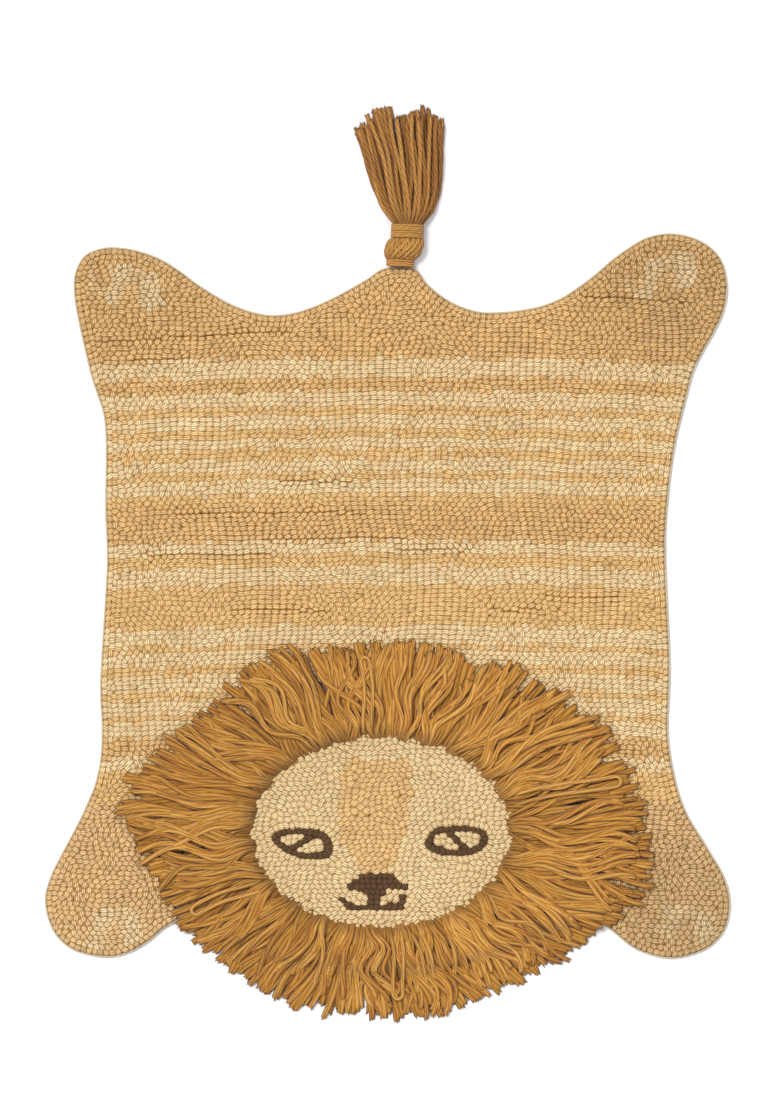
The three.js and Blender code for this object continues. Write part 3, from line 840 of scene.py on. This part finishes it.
# The nose and the mouth, row by row.
NOSE_ROWS = (
    # y, from x, to x
    (-314.6, -26.0, 3.5),
    (-319.8, -31.0, 8.5),
    (-325.0, -36.5, 16.5),
    (-330.2, -20.5, -5.0),
    (-335.4, -16.5, -10.5),
    (-340.6, -17.0, -10.0),
    (-345.8, -40.0, 13.0),
)
MOUTH_CORNERS = ((-45.0, -338.0), (-40.5, -341.8), (14.3, -340.5), (14.3, -335.0))
BAND_SIDES = np.array((
    # y, from x, to x
    (-198.0, -44.0, 24.0),
    (-222.0, -46.5, 24.5),
    (-276.0, -47.5, 18.5),
    (-296.0, -33.5, 7.5),
    (-310.0, -26.0, 2.0),
))


def seeds_on_path(path, pitch):
    """Seeds at even distances along a path."""
    along = np.concatenate(([0], np.cumsum(np.linalg.norm(np.diff(path, axis=0), axis=1))))
    stops = np.linspace(0, along[-1], max(2, round(along[-1] / pitch) + 1))
    return np.column_stack([np.interp(stops, along, path[:, axis]) for axis in (0, 1)])


rng = np.random.default_rng(19)
brown_seeds = []
beside_seeds = []
lids = []
for lid, bar in EYES.values():
    lid = even_steps(np.array(lid, float), 1.0)
    lids.append(lid)
    for offset, rows in ((0.0, brown_seeds), (-EYE_ROOM, beside_seeds)):
        row = lid + inward(lid) * offset
        rows.append(seeds_on_path(np.vstack((row, row[:1])), LID_PITCH)[:-1])
    brown_seeds.append(seeds_on_path(np.array(bar), BAR_PITCH))
for y, start, end in NOSE_ROWS:
    brown_seeds.append(seeds_on_path(np.array(((start, y), (end, y))), NOSE_PITCH))
brown_seeds.append(np.array(MOUTH_CORNERS))
brown_seeds = np.vstack(brown_seeds)

turn = np.linspace(0, 2 * np.pi, 400)
oval = FACE_MIDDLE + (FACE_HALF + FACE_FENCE) * np.column_stack((np.cos(turn), np.sin(turn)))
face_fence = seeds_on_path(oval, 6.0)[:-1]
fill_seeds = []
level = FACE_MIDDLE[1] + FACE_HALF[1] + 12
while level > FACE_MIDDLE[1] - FACE_HALF[1] - 12:
    x = np.cumsum(rng.uniform(FACE_PITCH - 1.2, FACE_PITCH + 1.2, 54)) - 154 - rng.uniform(0, FACE_PITCH)
    y = level + 1.2 * patchy(x, level, size=40, seed=3) + rng.uniform(-0.8, 0.8, len(x))
    fill_seeds.append(np.column_stack((x, y)))
    level -= FACE_ROW * rng.uniform(0.95, 1.05)
fill_seeds = np.vstack(fill_seeds)
fill_seeds = fill_seeds[np.linalg.norm((fill_seeds - FACE_MIDDLE) / (FACE_HALF + FACE_MARGIN), axis=1) < 1]
for lid in lids:
    fill_seeds = fill_seeds[depth_inside(fill_seeds, lid) < 0]


def with_room(seeds, others, room):
    """The others, and the seeds that stand clear of them and of the seeds kept before."""
    kept = list(others)
    for spot in seeds:
        if np.linalg.norm(np.array(kept) - spot, axis=1).min() > room:
            kept.append(spot)
    return np.array(kept)


placed_seeds = np.vstack((brown_seeds, CREAM_SPOTS))
face_seeds = with_room(np.vstack(beside_seeds), placed_seeds, 5.2)
face_seeds = with_room(fill_seeds, face_seeds, 3.9)
x, y = face_seeds.T
band_from, band_to = [np.interp(-y, -BAND_SIDES[:, 0], BAND_SIDES[:, side]) for side in (1, 2)]
on_band = (x > band_from) & (x < band_to) & (y > BAND_SIDES[-1, 0]) & (y < BAND_SIDES[0, 0])
face_colours = np.where(on_band[:, None], dye(FACE_YARNS["band"]), dye(FACE_YARNS["cream"]))
face_colours[: len(brown_seeds)] = dye(FACE_YARNS["brown"])
face_colours = vary(face_colours, 0.05, rng)
face_slants = np.where(patchy(x, y, size=40, seed=31) > -0.2, *FACE_SLANTS)
face_slants = face_slants + rng.normal(0, UNEVEN_SLANT, len(face_seeds))
face_seeds = settle(face_seeds, face_fence, face_slants, len(placed_seeds))
face_cells = loop_cells(face_seeds, face_fence, face_slants)
face_tops = top_at(face_seeds) + rng.uniform(-0.5, 0.4, len(face_seeds))
face_feet = np.full(len(face_seeds), LOOP_RINGS[0, 0])
face_creases = np.full(len(face_seeds), PALE_CREASE)
hook_loops("pile_face", face_cells, face_slants, face_tops, face_feet, face_creases,
                              face_colours, pile_wool, rng)


# Mane
# Long lengths of soft ochre roving are knotted in tufts round the rim of the face and fan out over the body,
# in layers that cross each other. Most ends are cut and frayed, and a few lengths are left as uncut folds.
MANE_TUFTS = 23
MANE_STEPS = 19
MANE_SIDES = 6
ROVING_PLIES = 3
# From the lowest layer up. The reaches are shares of the way to the mane's rim. A lower layer keeps less
# light: painted shade, darker and warmer in colour.
MANE_LAYERS = (
    # strands, lift, least reach, most reach, width, height, sway, lean, gathering at the knots, light kept
    (250, 2.2, 0.97, 1.01, 7.4, 4.2, 2.0, 0.01, 0.02, 0.84),
    (256, 4.6, 0.92, 1.03, 5.5, 4.3, 5.2, 0.06, 0.34, 0.92),
    (206, 7.4, 0.86, 1.01, 5.6, 4.4, 7.0, 0.12, 0.52, 0.98),
)
# Neighbouring strands lie together as locks, which share their waves, their lean and their height.
LOCK_STRANDS = 7
# A few strands stray from their lock.
STRAY_SHARE = 0.08
STRAY_LEAN = 0.18
# Beside its top a strand turns away from the light, and is darker and warmer in colour.
SIDE_SHADE = np.array((0.56, 0.41, 0.22))
MANE_YARNS = {
    "light": (236, 185, 105),
    "ochre": (225, 171, 90),
    "brown": (210, 153, 78),
}
# Painted shade towards a strand's root, where it goes down under the face's loops.
ROOT_SHADE = 0.74
# Strands towards the left are painted this much darker: painted shade, against the stronger light on that
# side.
LEFT_PAINTED_SHADE = 0.10
UNCUT_FOLDS = (
    # direction of the fold, distance of its bend from the face's middle, half the gap between its two legs
    (13.0, 245.0, 5.0),
    (96.0, 176.0, 4.2),
    (203.0, 205.0, 4.6),
    (277.0, 168.0, 4.8),
    (289.0, 163.0, 4.4),
)
FOLD_WIDTH = 4.4
FOLD_STEPS = 15
BEND_STEPS = 6
# The strands start under the face's outer loops and lie on the mat. Past its edge they fall to the floor.
ROOT_DEPTH = 3.0
MAT_TOP = 10.2
FALL_FROM = 3.0
FALL_LENGTH = 17.0


def ease(value):
    """A smooth rise from nought to one."""
    value = np.clip(value, 0, 1)
    return value * value * (3 - 2 * value)


def spin(paths, widths, heights, sides, colours, root_shade, rng, ply_depth=0.0, turn=0.0):
    """Yarn along each path, closed at both ends: its points, quads, caps, paint and lie."""
    count, steps = paths.shape[:2]
    along = np.gradient(paths, axis=1)
    along /= np.maximum(np.linalg.norm(along, axis=2), 1e-9)[..., None]
    across = np.dstack((-along[..., 1], along[..., 0], np.zeros((count, steps))))
    across /= np.maximum(np.linalg.norm(across, axis=2), 1e-9)[..., None]
    upward = np.cross(along, across)
    length = np.cumsum(np.linalg.norm(np.diff(paths, axis=1), axis=2), axis=1)
    length = np.concatenate((np.zeros((count, 1)), length), axis=1)
    round_it = np.arange(sides) * 2 * np.pi / sides
    bulge = 1 + ply_depth * np.cos(ROVING_PLIES * round_it + turn * length[..., None])
    out = (across[:, :, None] * (widths[..., None] / 2 * bulge * np.cos(round_it))[..., None]
           + upward[:, :, None] * (heights[..., None] / 2 * bulge * np.sin(round_it))[..., None])
    rings = (paths[:, :, None] + out).reshape(count, steps * sides, 3)
    ends = np.stack((paths[:, 0], paths[:, -1]), axis=1)
    points = np.concatenate((rings, ends), axis=1)
    side = np.arange(sides)
    side_on = (side + 1) % sides
    low = (np.arange(steps - 1) * sides)[:, None]
    high = low + sides
    quads = np.stack((low + side, low + side_on, high + side_on, high + side), axis=-1).reshape(-1, 4)
    last = (steps - 1) * sides
    caps = np.vstack((
        np.column_stack((side_on, side, np.full(sides, steps * sides))),
        np.column_stack((last + side, last + side_on, np.full(sides, steps * sides + 1))),
    ))
    starts = (np.arange(count) * (steps * sides + 2))[:, None, None]
    around = (round_it / (2 * np.pi) + 0.25) % 1
    lie = np.stack(np.broadcast_arrays(length[..., None], around[None, None]), axis=-1).reshape(count, -1, 2)
    end_lie = np.stack((np.column_stack((length[:, 0], length[:, -1])), np.full((count, 2), 0.5)), axis=-1)
    paint, lie = paint_strands(np.concatenate((lie, end_lie), axis=1), colours, root_shade, rng)
    return points, (quads[None] + starts).reshape(-1, 4), (caps[None] + starts).reshape(-1, 3), paint, lie


def paint_strands(lie, colours, root_shade, rng):
    """Each strand's colour, with painted shade towards its root and its sides, and its lie with a number of
    its own.
    """
    share = lie[..., 0] / lie[:, -1:, 0]
    shade = root_shade + (1 - root_shade) * ease(share / 0.3)
    beside = ease((np.abs(lie[..., 1] - 0.5) - 0.04) / 0.18)[..., None]
    paint = colours[:, None] * shade[..., None] * (1 - beside * (1 - SIDE_SHADE))
    own = np.broadcast_to(rng.uniform(0, 100, (len(lie), 1)), lie.shape[:2])
    return np.clip(paint, 0, 1), np.dstack((lie, own))


def lying_height(flat):
    """The height of what a strand lies on: the mat's loops, and past the mat's edge the floor."""
    outside = -depth_inside(flat.reshape(-1, 2), outline).reshape(flat.shape[:-1])
    return MAT_TOP * (1 - ease((outside - FALL_FROM) / FALL_LENGTH))


def face_rim(angle):
    """The distance from the face's middle to its rim in this direction."""
    wide, tall = FACE_HALF
    return wide * tall / np.hypot(tall * np.cos(angle), wide * np.sin(angle))


def round_the_mane(count, uneven, rng):
    """Directions from the face's middle that are evenly spaced along the mane's rim."""
    turn = np.linspace(0, 2 * np.pi, 721)
    rim = np.interp(np.degrees(turn), MANE_RIM[:, 0], MANE_RIM[:, 1])
    side = np.hypot(np.diff(rim * np.cos(turn)), np.diff(rim * np.sin(turn)))
    along = np.concatenate(([0], np.cumsum(side)))
    stops = (np.arange(count) + 0.5 + rng.uniform(-uneven, uneven, count)) / count * along[-1]
    return np.interp(stops, along, turn)


mane_wool = yarn_material("mane_roving", plies=4.0, turn=0.03, fibre=9.0, patch_depth=0.22,
                          streak_depth=0.45, groove_depth=0.55, relief=0.0009, sheen=0.10,
                          roughness=(0.62, 0.88))

rng = np.random.default_rng(41)
tuft_turn = 2 * np.pi / MANE_TUFTS
tufts = (np.arange(MANE_TUFTS) + rng.uniform(-0.18, 0.18, MANE_TUFTS)) * tuft_turn
mane_colours = {name: dye(rgb) for name, rgb in MANE_YARNS.items()}
mane_parts = []
mane_ends = []
share = np.linspace(0, 1, MANE_STEPS)
for strands, lift, least, most, width, height, sway, lean, gathering, light in MANE_LAYERS:
    slot = round_the_mane(strands, 0.25, rng)
    lock = np.arange(strands) // LOCK_STRANDS
    middle = slot[np.minimum(lock * LOCK_STRANDS + LOCK_STRANDS // 2, strands - 1)]
    locks = lock.max() + 1
    lock_wave = rng.uniform(0.6, 1.5, locks)[lock] + rng.normal(0, 0.05, strands)
    lock_start = rng.uniform(0, 2 * np.pi, locks)[lock] + rng.normal(0, 0.35, strands)
    lock_sway = sway * rng.uniform(0.4, 1.2, locks)[lock] * rng.uniform(0.85, 1.15, strands)
    lock_lean = rng.normal(0, lean, locks)[lock] + rng.normal(0, lean * 0.3, strands)
    stray = rng.uniform(0, 1, strands) < STRAY_SHARE
    lock_lean = lock_lean + np.where(stray, rng.normal(0, STRAY_LEAN, strands), 0)
    lock_reach = rng.uniform(least, most, locks)[lock] + rng.uniform(-0.035, 0.02, strands)
    lock_lift = rng.uniform(-0.4, 1.5, locks)[lock] + rng.uniform(-0.5, 0.5, strands)
    together = slot + (middle - slot) * rng.uniform(0.0, 1.1 * gathering + 0.12, locks)[lock]
    # At its root a strand is drawn towards its lock's nearest knot.
    gap = (middle[:, None] - tufts[None] + np.pi) % (2 * np.pi) - np.pi
    nearest = np.take_along_axis(gap, np.abs(gap).argmin(axis=1)[:, None], axis=1)[:, 0]
    root = slot + (middle - slot) * gathering * 1.2 - nearest * gathering * rng.uniform(0.9, 1.6, strands)
    tip = together + lock_lean
    angle = root[:, None] + (tip - root)[:, None] * share[None] ** 0.75
    inner = face_rim(root)
    reach = np.interp(np.degrees(tip) % 360, MANE_RIM[:, 0], MANE_RIM[:, 1]) * lock_reach
    radius = (inner - ROOT_DEPTH)[:, None] + (reach - inner + ROOT_DEPTH)[:, None] * share[None]
    wave = 2 * np.pi * share[None] * lock_wave[:, None] + lock_start[:, None]
    side_way = lock_sway[:, None] * np.sin(wave) * ease(share[None] / 0.35)
    flat = FACE_MIDDLE + np.stack((
        radius * np.cos(angle) - side_way * np.sin(angle),
        radius * np.sin(angle) + side_way * np.cos(angle),
    ), axis=-1)
    rise = ease(share[None] * (reach - inner)[:, None] / 14)
    ripple = 0.7 * np.sin(2 * np.pi * share[None] * 2.2 + rng.uniform(0, 6, strands)[:, None])
    own_lift = lift + lock_lift
    ground = lying_height(flat)
    # A strand rises from its knot, lies at its layer's height, and sinks again towards its end.
    sinking = 1 - 0.35 * ease((share[None] - 0.7) / 0.3)
    level = ground * (0.6 + 0.4 * rise) + (0.25 + 0.75 * rise) * own_lift[:, None] * sinking + ripple * rise
    thick = (0.52 + 0.48 * ease(share / 0.25))[None] * rng.uniform(0.85, 1.12, strands)[:, None]
    thick[:, 0] *= 0.5
    thick[:, -1] *= 0.9
    level = np.maximum(level, height * thick / 2 + 0.15)
    paths = np.dstack((flat, level))
    pick = rng.uniform(0, 1, (strands, 1))
    colours = np.where(pick < 0.8, mane_colours["light"], mane_colours["brown"])
    colours = np.where(pick < 0.45, mane_colours["ochre"], colours)
    # Painted shade on the lower layers.
    colours = vary(colours, 0.07, rng) * np.array((light, light**1.25, light**2))
    # Painted shade towards the mane's left side.
    colours = colours * (1 - LEFT_PAINTED_SHADE * np.clip(-np.cos(slot), 0, 1))[:, None]
    mane_parts.append(spin(paths, width * thick, height * thick, MANE_SIDES, colours, ROOT_SHADE, rng,
                           ply_depth=0.05, turn=0.3))
    mane_ends.append((paths[:, -1], paths[:, -1] - paths[:, -3], colours, width * thick[:, -3]))


# The uncut folds lie on top. Each goes out, bends round and comes back.
way_out = np.linspace(0, 1, FOLD_STEPS)
bend_turn = np.linspace(0.15, np.pi - 0.15, BEND_STEPS)
legs = np.concatenate((way_out, np.ones(BEND_STEPS), way_out[::-1]))
bend = np.concatenate((np.zeros(FOLD_STEPS), np.sin(bend_turn), np.zeros(FOLD_STEPS)))
side = np.concatenate((-np.ones(FOLD_STEPS), -np.cos(bend_turn), np.ones(FOLD_STEPS)))
fold_paths = []
for turn, bend_at, gap in UNCUT_FOLDS:
    out = np.array((np.cos(np.radians(turn)), np.sin(np.radians(turn))))
    start = face_rim(np.radians(turn)) + 6
    reach = start + (bend_at - gap - start) * legs + gap * bend
    sway = 3.0 * np.sin(legs * 4 + turn)
    flat = FACE_MIDDLE + reach[:, None] * out + (side * gap + sway)[:, None] * np.array((-out[1], out[0]))
    level = lying_height(flat) + 10.5 * ease(legs / 0.15) - 3.5 * ease((legs - 0.7) / 0.3)
    fold_paths.append(np.column_stack((flat, np.minimum(level, 20.0))))
fold_paths = np.array(fold_paths)
fold_sizes = np.full(fold_paths.shape[:2], FOLD_WIDTH)
fold_colours = np.tile(mane_colours["light"], (len(fold_paths), 1))
mane_parts.append(spin(fold_paths, fold_sizes, fold_sizes, MANE_SIDES, fold_colours, 0.7, rng,
                       ply_depth=0.05, turn=0.3))


def join_strands(name, parts, material, nodes):
    """Makes one piece from several sets of strands."""
    points, quads, caps, paint, lie = [], [], [], [], []
    start = 0
    for part in parts:
        some = part[0].reshape(-1, 3)
        points.append(some)
        quads.append(part[1] + start)
        caps.append(part[2] + start)
        paint.append(part[3].reshape(-1, 3))
        lie.append(part[4].reshape(-1, 3))
        start += len(some)
    return make_piece(name, np.vstack(points), (np.vstack(quads), np.vstack(caps)), material, nodes,
                      np.vstack(paint), np.vstack(lie))


FIBRE_THICKNESS = (1.5, 1.4, 1.1, 0.6)


def fray(ends, fibres, length, spreading, rng):
    """Fine loose bundles of fibres at the cut ends of the strands."""
    parts = []
    for tips, headings, colours, widths in ends:
        count = len(tips)
        heading = headings / np.linalg.norm(headings, axis=1)[:, None]
        across = np.column_stack((-heading[:, 1], heading[:, 0], np.zeros(count)))
        place = rng.uniform(-0.42, 0.42, (count, fibres))
        spread = (place * 0.9 + rng.normal(0, 0.14, (count, fibres))) * spreading
        reach = rng.uniform(0.45, 1.0, (count, fibres)) * length
        start = tips[:, None] - heading[:, None] * 2.0
        start = start + across[:, None] * (place * widths[:, None])[..., None]
        steps = np.linspace(0, 1, 4)[None, None, :, None]
        ahead = heading[:, None, None] * reach[..., None, None] * steps
        aside = across[:, None, None] * (spread * reach)[..., None, None] * steps**1.4
        paths = (start[:, :, None] + ahead + aside).reshape(-1, 4, 3)
        paths[..., 2] = np.maximum(paths[..., 2] - np.linspace(0, 1.2, 4)[None], 0.7)
        thick = np.broadcast_to(np.array(FIBRE_THICKNESS)[None], paths.shape[:2])
        parts.append(spin(paths, thick, thick, 3, np.repeat(colours * 1.04, fibres, axis=0), 1.0, rng))
    return parts


MANE_NODES = tuple(f"mane_section_{number}" for number in range(1, 9))
for name, parts in (
    ("mane_under_layer", mane_parts[:1]),
    ("mane_upper_layers", mane_parts[1:]),
    ("mane_frayed_ends", fray(mane_ends, 5, 5.0, 0.55, rng)),
):
    join_strands(name, parts, mane_wool, MANE_NODES)


# Tail tassel
# A tassel of the same roving, a little darker, sewn to the mat's tip. Its head is folded lengths drawn
# tight, and its loose strands fan out on the floor past the bound neck.
# The mat's tip is here, and distances along the tail are measured from it.
TAIL_FROM = 294.0
TAIL_CORE = np.array((
    # distance from the mat's tip, x, z, half width, half height
    (0.3, 12.5, 9.2, 11.4, 5.4),
    (8.6, 12.8, 10.2, 11.6, 6.0),
    (10.0, 13.5, 11.2, 15.0, 8.4),
    (12.0, 14.3, 12.2, 16.3, 10.4),
    (18.0, 16.0, 13.6, 17.8, 13.2),
    (24.0, 17.6, 13.6, 17.4, 12.8),
    (27.8, 19.0, 13.6, 15.6, 11.0),
    (29.0, 19.4, 13.6, 12.8, 9.4),
    (43.4, 20.0, 13.6, 12.8, 9.4),
    (52.0, 20.0, 11.0, 14.0, 7.0),
))
FAN_SIDES = np.array((
    # distance from the mat's tip, left x, right x
    (38.0, 4.5, 36.0),
    (42.5, 3.0, 37.6),
    (46.0, 0.0, 40.8),
    (51.0, -3.0, 44.6),
    (57.0, -6.0, 47.6),
    (76.0, -13.0, 53.0),
    (112.0, -25.0, 57.0),
    (143.0, -36.5, 58.0),
    (163.0, -41.0, 58.5),
))
FAN_ENDS = np.array((
    # place across the fan from left to right, distance of the ends from the mat's tip
    (-1.0, 142.0),
    (-0.75, 147.0),
    (-0.55, 159.0),
    (-0.15, 163.0),
    (0.05, 154.0),
    (0.4, 160.0),
    (0.6, 163.0),
    (1.0, 150.0),
))
FAN_LAYERS = (
    # strands, lift, width
    (20, 0.0, 5.4),
    (18, 3.6, 4.9),
    (15, 7.6, 4.7),
)
HEAD_LAYERS = (
    # lengths, how far they wind, how deep they lie
    (32, 0.45, 1.2),
    (16, -0.95, 0.3),
)
# No folded length's middle lies lower than this.
LOWEST = 2.0
HEAD_STEPS = 20
# The loose strands start inside the neck, and open out from its far end over this length.
FAN_FROM = 36.0
FAN_OPENS = 41.0
FAN_OPENING = 24.0
FAN_STEPS = 22
TASSEL_YARNS = {
    "ochre": (214, 164, 98),
    "brown": (180, 130, 74),
    "head": (230, 181, 108),
    "stub": (240, 184, 112),
}


def core_at(distance):
    """The tail's middle and half sizes at a distance from the mat's tip: x, z, half width, half height."""
    return [np.interp(distance, TAIL_CORE[:, 0], TAIL_CORE[:, column]) for column in (1, 2, 3, 4)]


tassel_wool = yarn_material("tassel_roving", plies=4.0, turn=0.11, fibre=8.0, patch_depth=0.25,
                            streak_depth=0.50, groove_depth=0.55, relief=0.0009, sheen=0.10,
                            roughness=(0.65, 0.9))
rng = np.random.default_rng(63)
tassel_parts = []
tassel_ends = []
share = np.linspace(0, 1, FAN_STEPS)
for strands, lift, width in FAN_LAYERS:
    across = np.linspace(-1, 1, strands) + rng.uniform(-0.05, 0.05, strands)
    across = np.clip(across, -1, 1) * (1 - 0.03 * lift / 4.3)
    end = np.interp(across, FAN_ENDS[:, 0], FAN_ENDS[:, 1]) - rng.uniform(0, 6 + lift, strands)
    distance = FAN_FROM + (end - FAN_FROM)[:, None] * share[None]
    left, right = [np.interp(distance, FAN_SIDES[:, 0], FAN_SIDES[:, side]) for side in (1, 2)]
    half = (right - left) / 2 - width / 2
    opening = ease((distance - FAN_OPENS) / FAN_OPENING)
    crossing = across + rng.normal(0, 0.10, strands)
    packed = (across[:, None] + (crossing - across)[:, None] * (share[None] - 0.4)) * (0.86 + 0.14 * opening)
    packed = np.clip(packed, -1, 1)
    sway = 1.3 * np.sin(2 * np.pi * share[None] * rng.uniform(0.7, 1.4, strands)[:, None]
                        + rng.uniform(0, 6, strands)[:, None]) * opening
    x = (left + right) / 2 + packed * half + sway
    own_lift = (lift + rng.uniform(-2.6, 3.4, strands))[:, None]
    start_z = 7.6 + lift * 1.15
    level = start_z + (2.6 + own_lift - start_z) * opening + 0.5 * np.sin(share * 9 + strands) * opening
    slim = (0.5 + 0.5 * ease((distance - 38) / 26)) * rng.uniform(0.9, 1.08, strands)[:, None]
    slim[:, -1] *= 0.6
    level = np.maximum(level, width * 0.9 * slim / 2 + 0.2)
    paths = np.dstack((x, TAIL_FROM + distance, level))
    pick = rng.uniform(0, 1, (strands, 1))
    colours = np.where(pick < 0.6, dye(TASSEL_YARNS["ochre"]), dye(TASSEL_YARNS["brown"]))
    colours = vary(colours, 0.06, rng)
    tassel_parts.append(spin(paths, width * slim, width * 0.9 * slim, 8, colours, 0.7, rng,
                             ply_depth=0.06, turn=0.35))
    tassel_ends.append((paths[:, -1], paths[:, -1] - paths[:, -3], colours, width * slim[:, -3]))

# The head's folded lengths run over its round body from the stub to the neck, in two layers that cross.
distance = np.linspace(7.5, 33, HEAD_STEPS)
x, z, half_width, half_height = core_at(distance)
for lengths, winding, depth in HEAD_LAYERS:
    turn = np.arange(lengths) * 2 * np.pi / lengths + rng.uniform(-0.06, 0.06, lengths)
    slant = turn[:, None] + winding * np.sin(np.linspace(0, 1, HEAD_STEPS) * np.pi / 2)[None]
    paths = np.dstack((
        x[None] + (half_width - depth)[None] * np.cos(slant),
        np.broadcast_to(TAIL_FROM + distance, (lengths, HEAD_STEPS)),
        np.maximum(z[None] + (half_height - depth)[None] * np.sin(slant), LOWEST),
    ))
    widths = np.minimum(np.pi * (half_width + half_height) / 23, 4.1)
    widths = np.broadcast_to(widths, (lengths, HEAD_STEPS))
    colours = vary(np.tile(dye(TASSEL_YARNS["head"]), (lengths, 1)), 0.07, rng)
    tassel_parts.append(spin(paths, widths, widths * 0.9, 6, colours, 0.85, rng))
tassel_parts.extend(fray(tassel_ends, 7, 4.5, 0.45, rng))
tail_pieces = [join_strands("tail_tassel_strands", tassel_parts, tassel_wool,
                            ("tail_tassel",))]


# Bindings
# The same yarn, wound tight in single turns: nearly six round the tassel's neck, and three round the stub at
# the mat's tip.
TURN_STEPS = 26
BINDINGS = (
    # piece, node, yarn, where it starts and ends from the mat's tip, turns, thickness, how far it stands off
    ("neck_binding", "tail_neck_wrap", "head", 29.8, 42.4, 5.6, 2.9, 2.4),
    ("stub_binding", "tail_stub_wrap", "stub", 1.6, 9.2, 3.2, 2.8, 1.4),
)


def wind(name, node, yarn, start, end, turns, thick, stand_off, rng):
    """Yarn wound round the tail's core, turn beside turn."""
    steps = int(turns * TURN_STEPS)
    share = np.linspace(0, 1, steps)
    distance = start + (end - start) * share + 0.25 * np.sin(share * turns * 4.3)
    x, z, half_width, half_height = core_at(distance)
    angle = 2 * np.pi * turns * share
    path = np.column_stack((
        x + (half_width + stand_off) * np.cos(angle),
        TAIL_FROM + distance,
        np.maximum(z + (half_height + stand_off) * np.sin(angle), thick / 2 + 0.2),
    ))[None]
    sizes = np.full((1, steps), thick)
    winding = spin(path, sizes, sizes, 8, dye(TASSEL_YARNS[yarn])[None], 1.0, rng)
    return join_strands(name, [winding], tassel_wool, (node,))


tail_pieces.extend(wind(*binding, rng) for binding in BINDINGS)

# The canvas was cut wider than the mat by the hem's width all round. All the yarn on it goes with it.
side = np.roll(outline, -1, axis=0) - outline
cut_area = 0.5 * np.abs((outline[:, 0] * side[:, 1] - outline[:, 1] * side[:, 0]).sum())
cut_area += np.linalg.norm(side, axis=1).sum() * HEM_WIDTH


# Floor, light and camera
# The mat lies on a plain white floor under wide soft light from the upper left, seen from straight above.
FLOOR_COLOUR = (0.88, 0.88, 0.89, 1)
FLOOR_HALF = 25.0
FLOOR_DROP = 0.0002
SKY_COLOUR = (0.95, 0.96, 1.0, 1)
SKY_STRENGTH = 0.88
SUN_COLOUR = (1.0, 0.985, 0.96)
SUN_STRENGTH = 2.2
SUN_ANGLE = 0.35
SUN_DIRECTION = (0.32, -0.31, -1.0)
# The camera stands this many metres above the pile. The photo's middle is in millimetres, and its height in
# metres.
CAMERA_HEIGHT = 5.0
PILE_TOP = 0.01
PHOTO_MIDDLE = (2.5, 7.5)
PHOTO_HEIGHT = 1.108
SENSOR = 36.0

floor_material, tree, shader = start_material("studio_floor", Roughness=0.9, Specular_IOR_Level=0.2)
shader.inputs["Base Color"].default_value = FLOOR_COLOUR
floor_mesh = bpy.data.meshes.new("studio_floor")
floor_corners = [(x * FLOOR_HALF, y * FLOOR_HALF, 0) for x, y in ((-1, -1), (1, -1), (1, 1), (-1, 1))]
floor_mesh.from_pydata(floor_corners, [], [(0, 1, 2, 3)])
floor_mesh.materials.append(floor_material)
floor = bpy.data.objects.new("studio_floor", floor_mesh)
floor.location.z = -FLOOR_DROP
bpy.context.scene.collection.objects.link(floor)

world = bpy.data.worlds.new("studio")
world.use_nodes = True
sky = world.node_tree.nodes["Background"]
sky.inputs["Color"].default_value = SKY_COLOUR
sky.inputs["Strength"].default_value = SKY_STRENGTH
bpy.context.scene.world = world

sun_lamp = bpy.data.lights.new("softbox", "SUN")
sun_lamp.energy = SUN_STRENGTH
sun_lamp.angle = SUN_ANGLE
sun_lamp.color = SUN_COLOUR
sun = bpy.data.objects.new("softbox", sun_lamp)
sun.rotation_euler = Vector(SUN_DIRECTION).to_track_quat("-Z", "Y").to_euler()
bpy.context.scene.collection.objects.link(sun)

camera_data = bpy.data.cameras.new("camera")
camera_data.sensor_width = SENSOR
camera_data.lens = SENSOR * CAMERA_HEIGHT / PHOTO_HEIGHT
camera_data.clip_end = 100
camera = bpy.data.objects.new("camera", camera_data)
camera.location = (PHOTO_MIDDLE[0] * MILLIMETRE, PHOTO_MIDDLE[1] * MILLIMETRE, CAMERA_HEIGHT + PILE_TOP)
bpy.context.scene.collection.objects.link(camera)
bpy.context.scene.camera = camera
bpy.context.scene.view_settings.view_transform = "Standard"
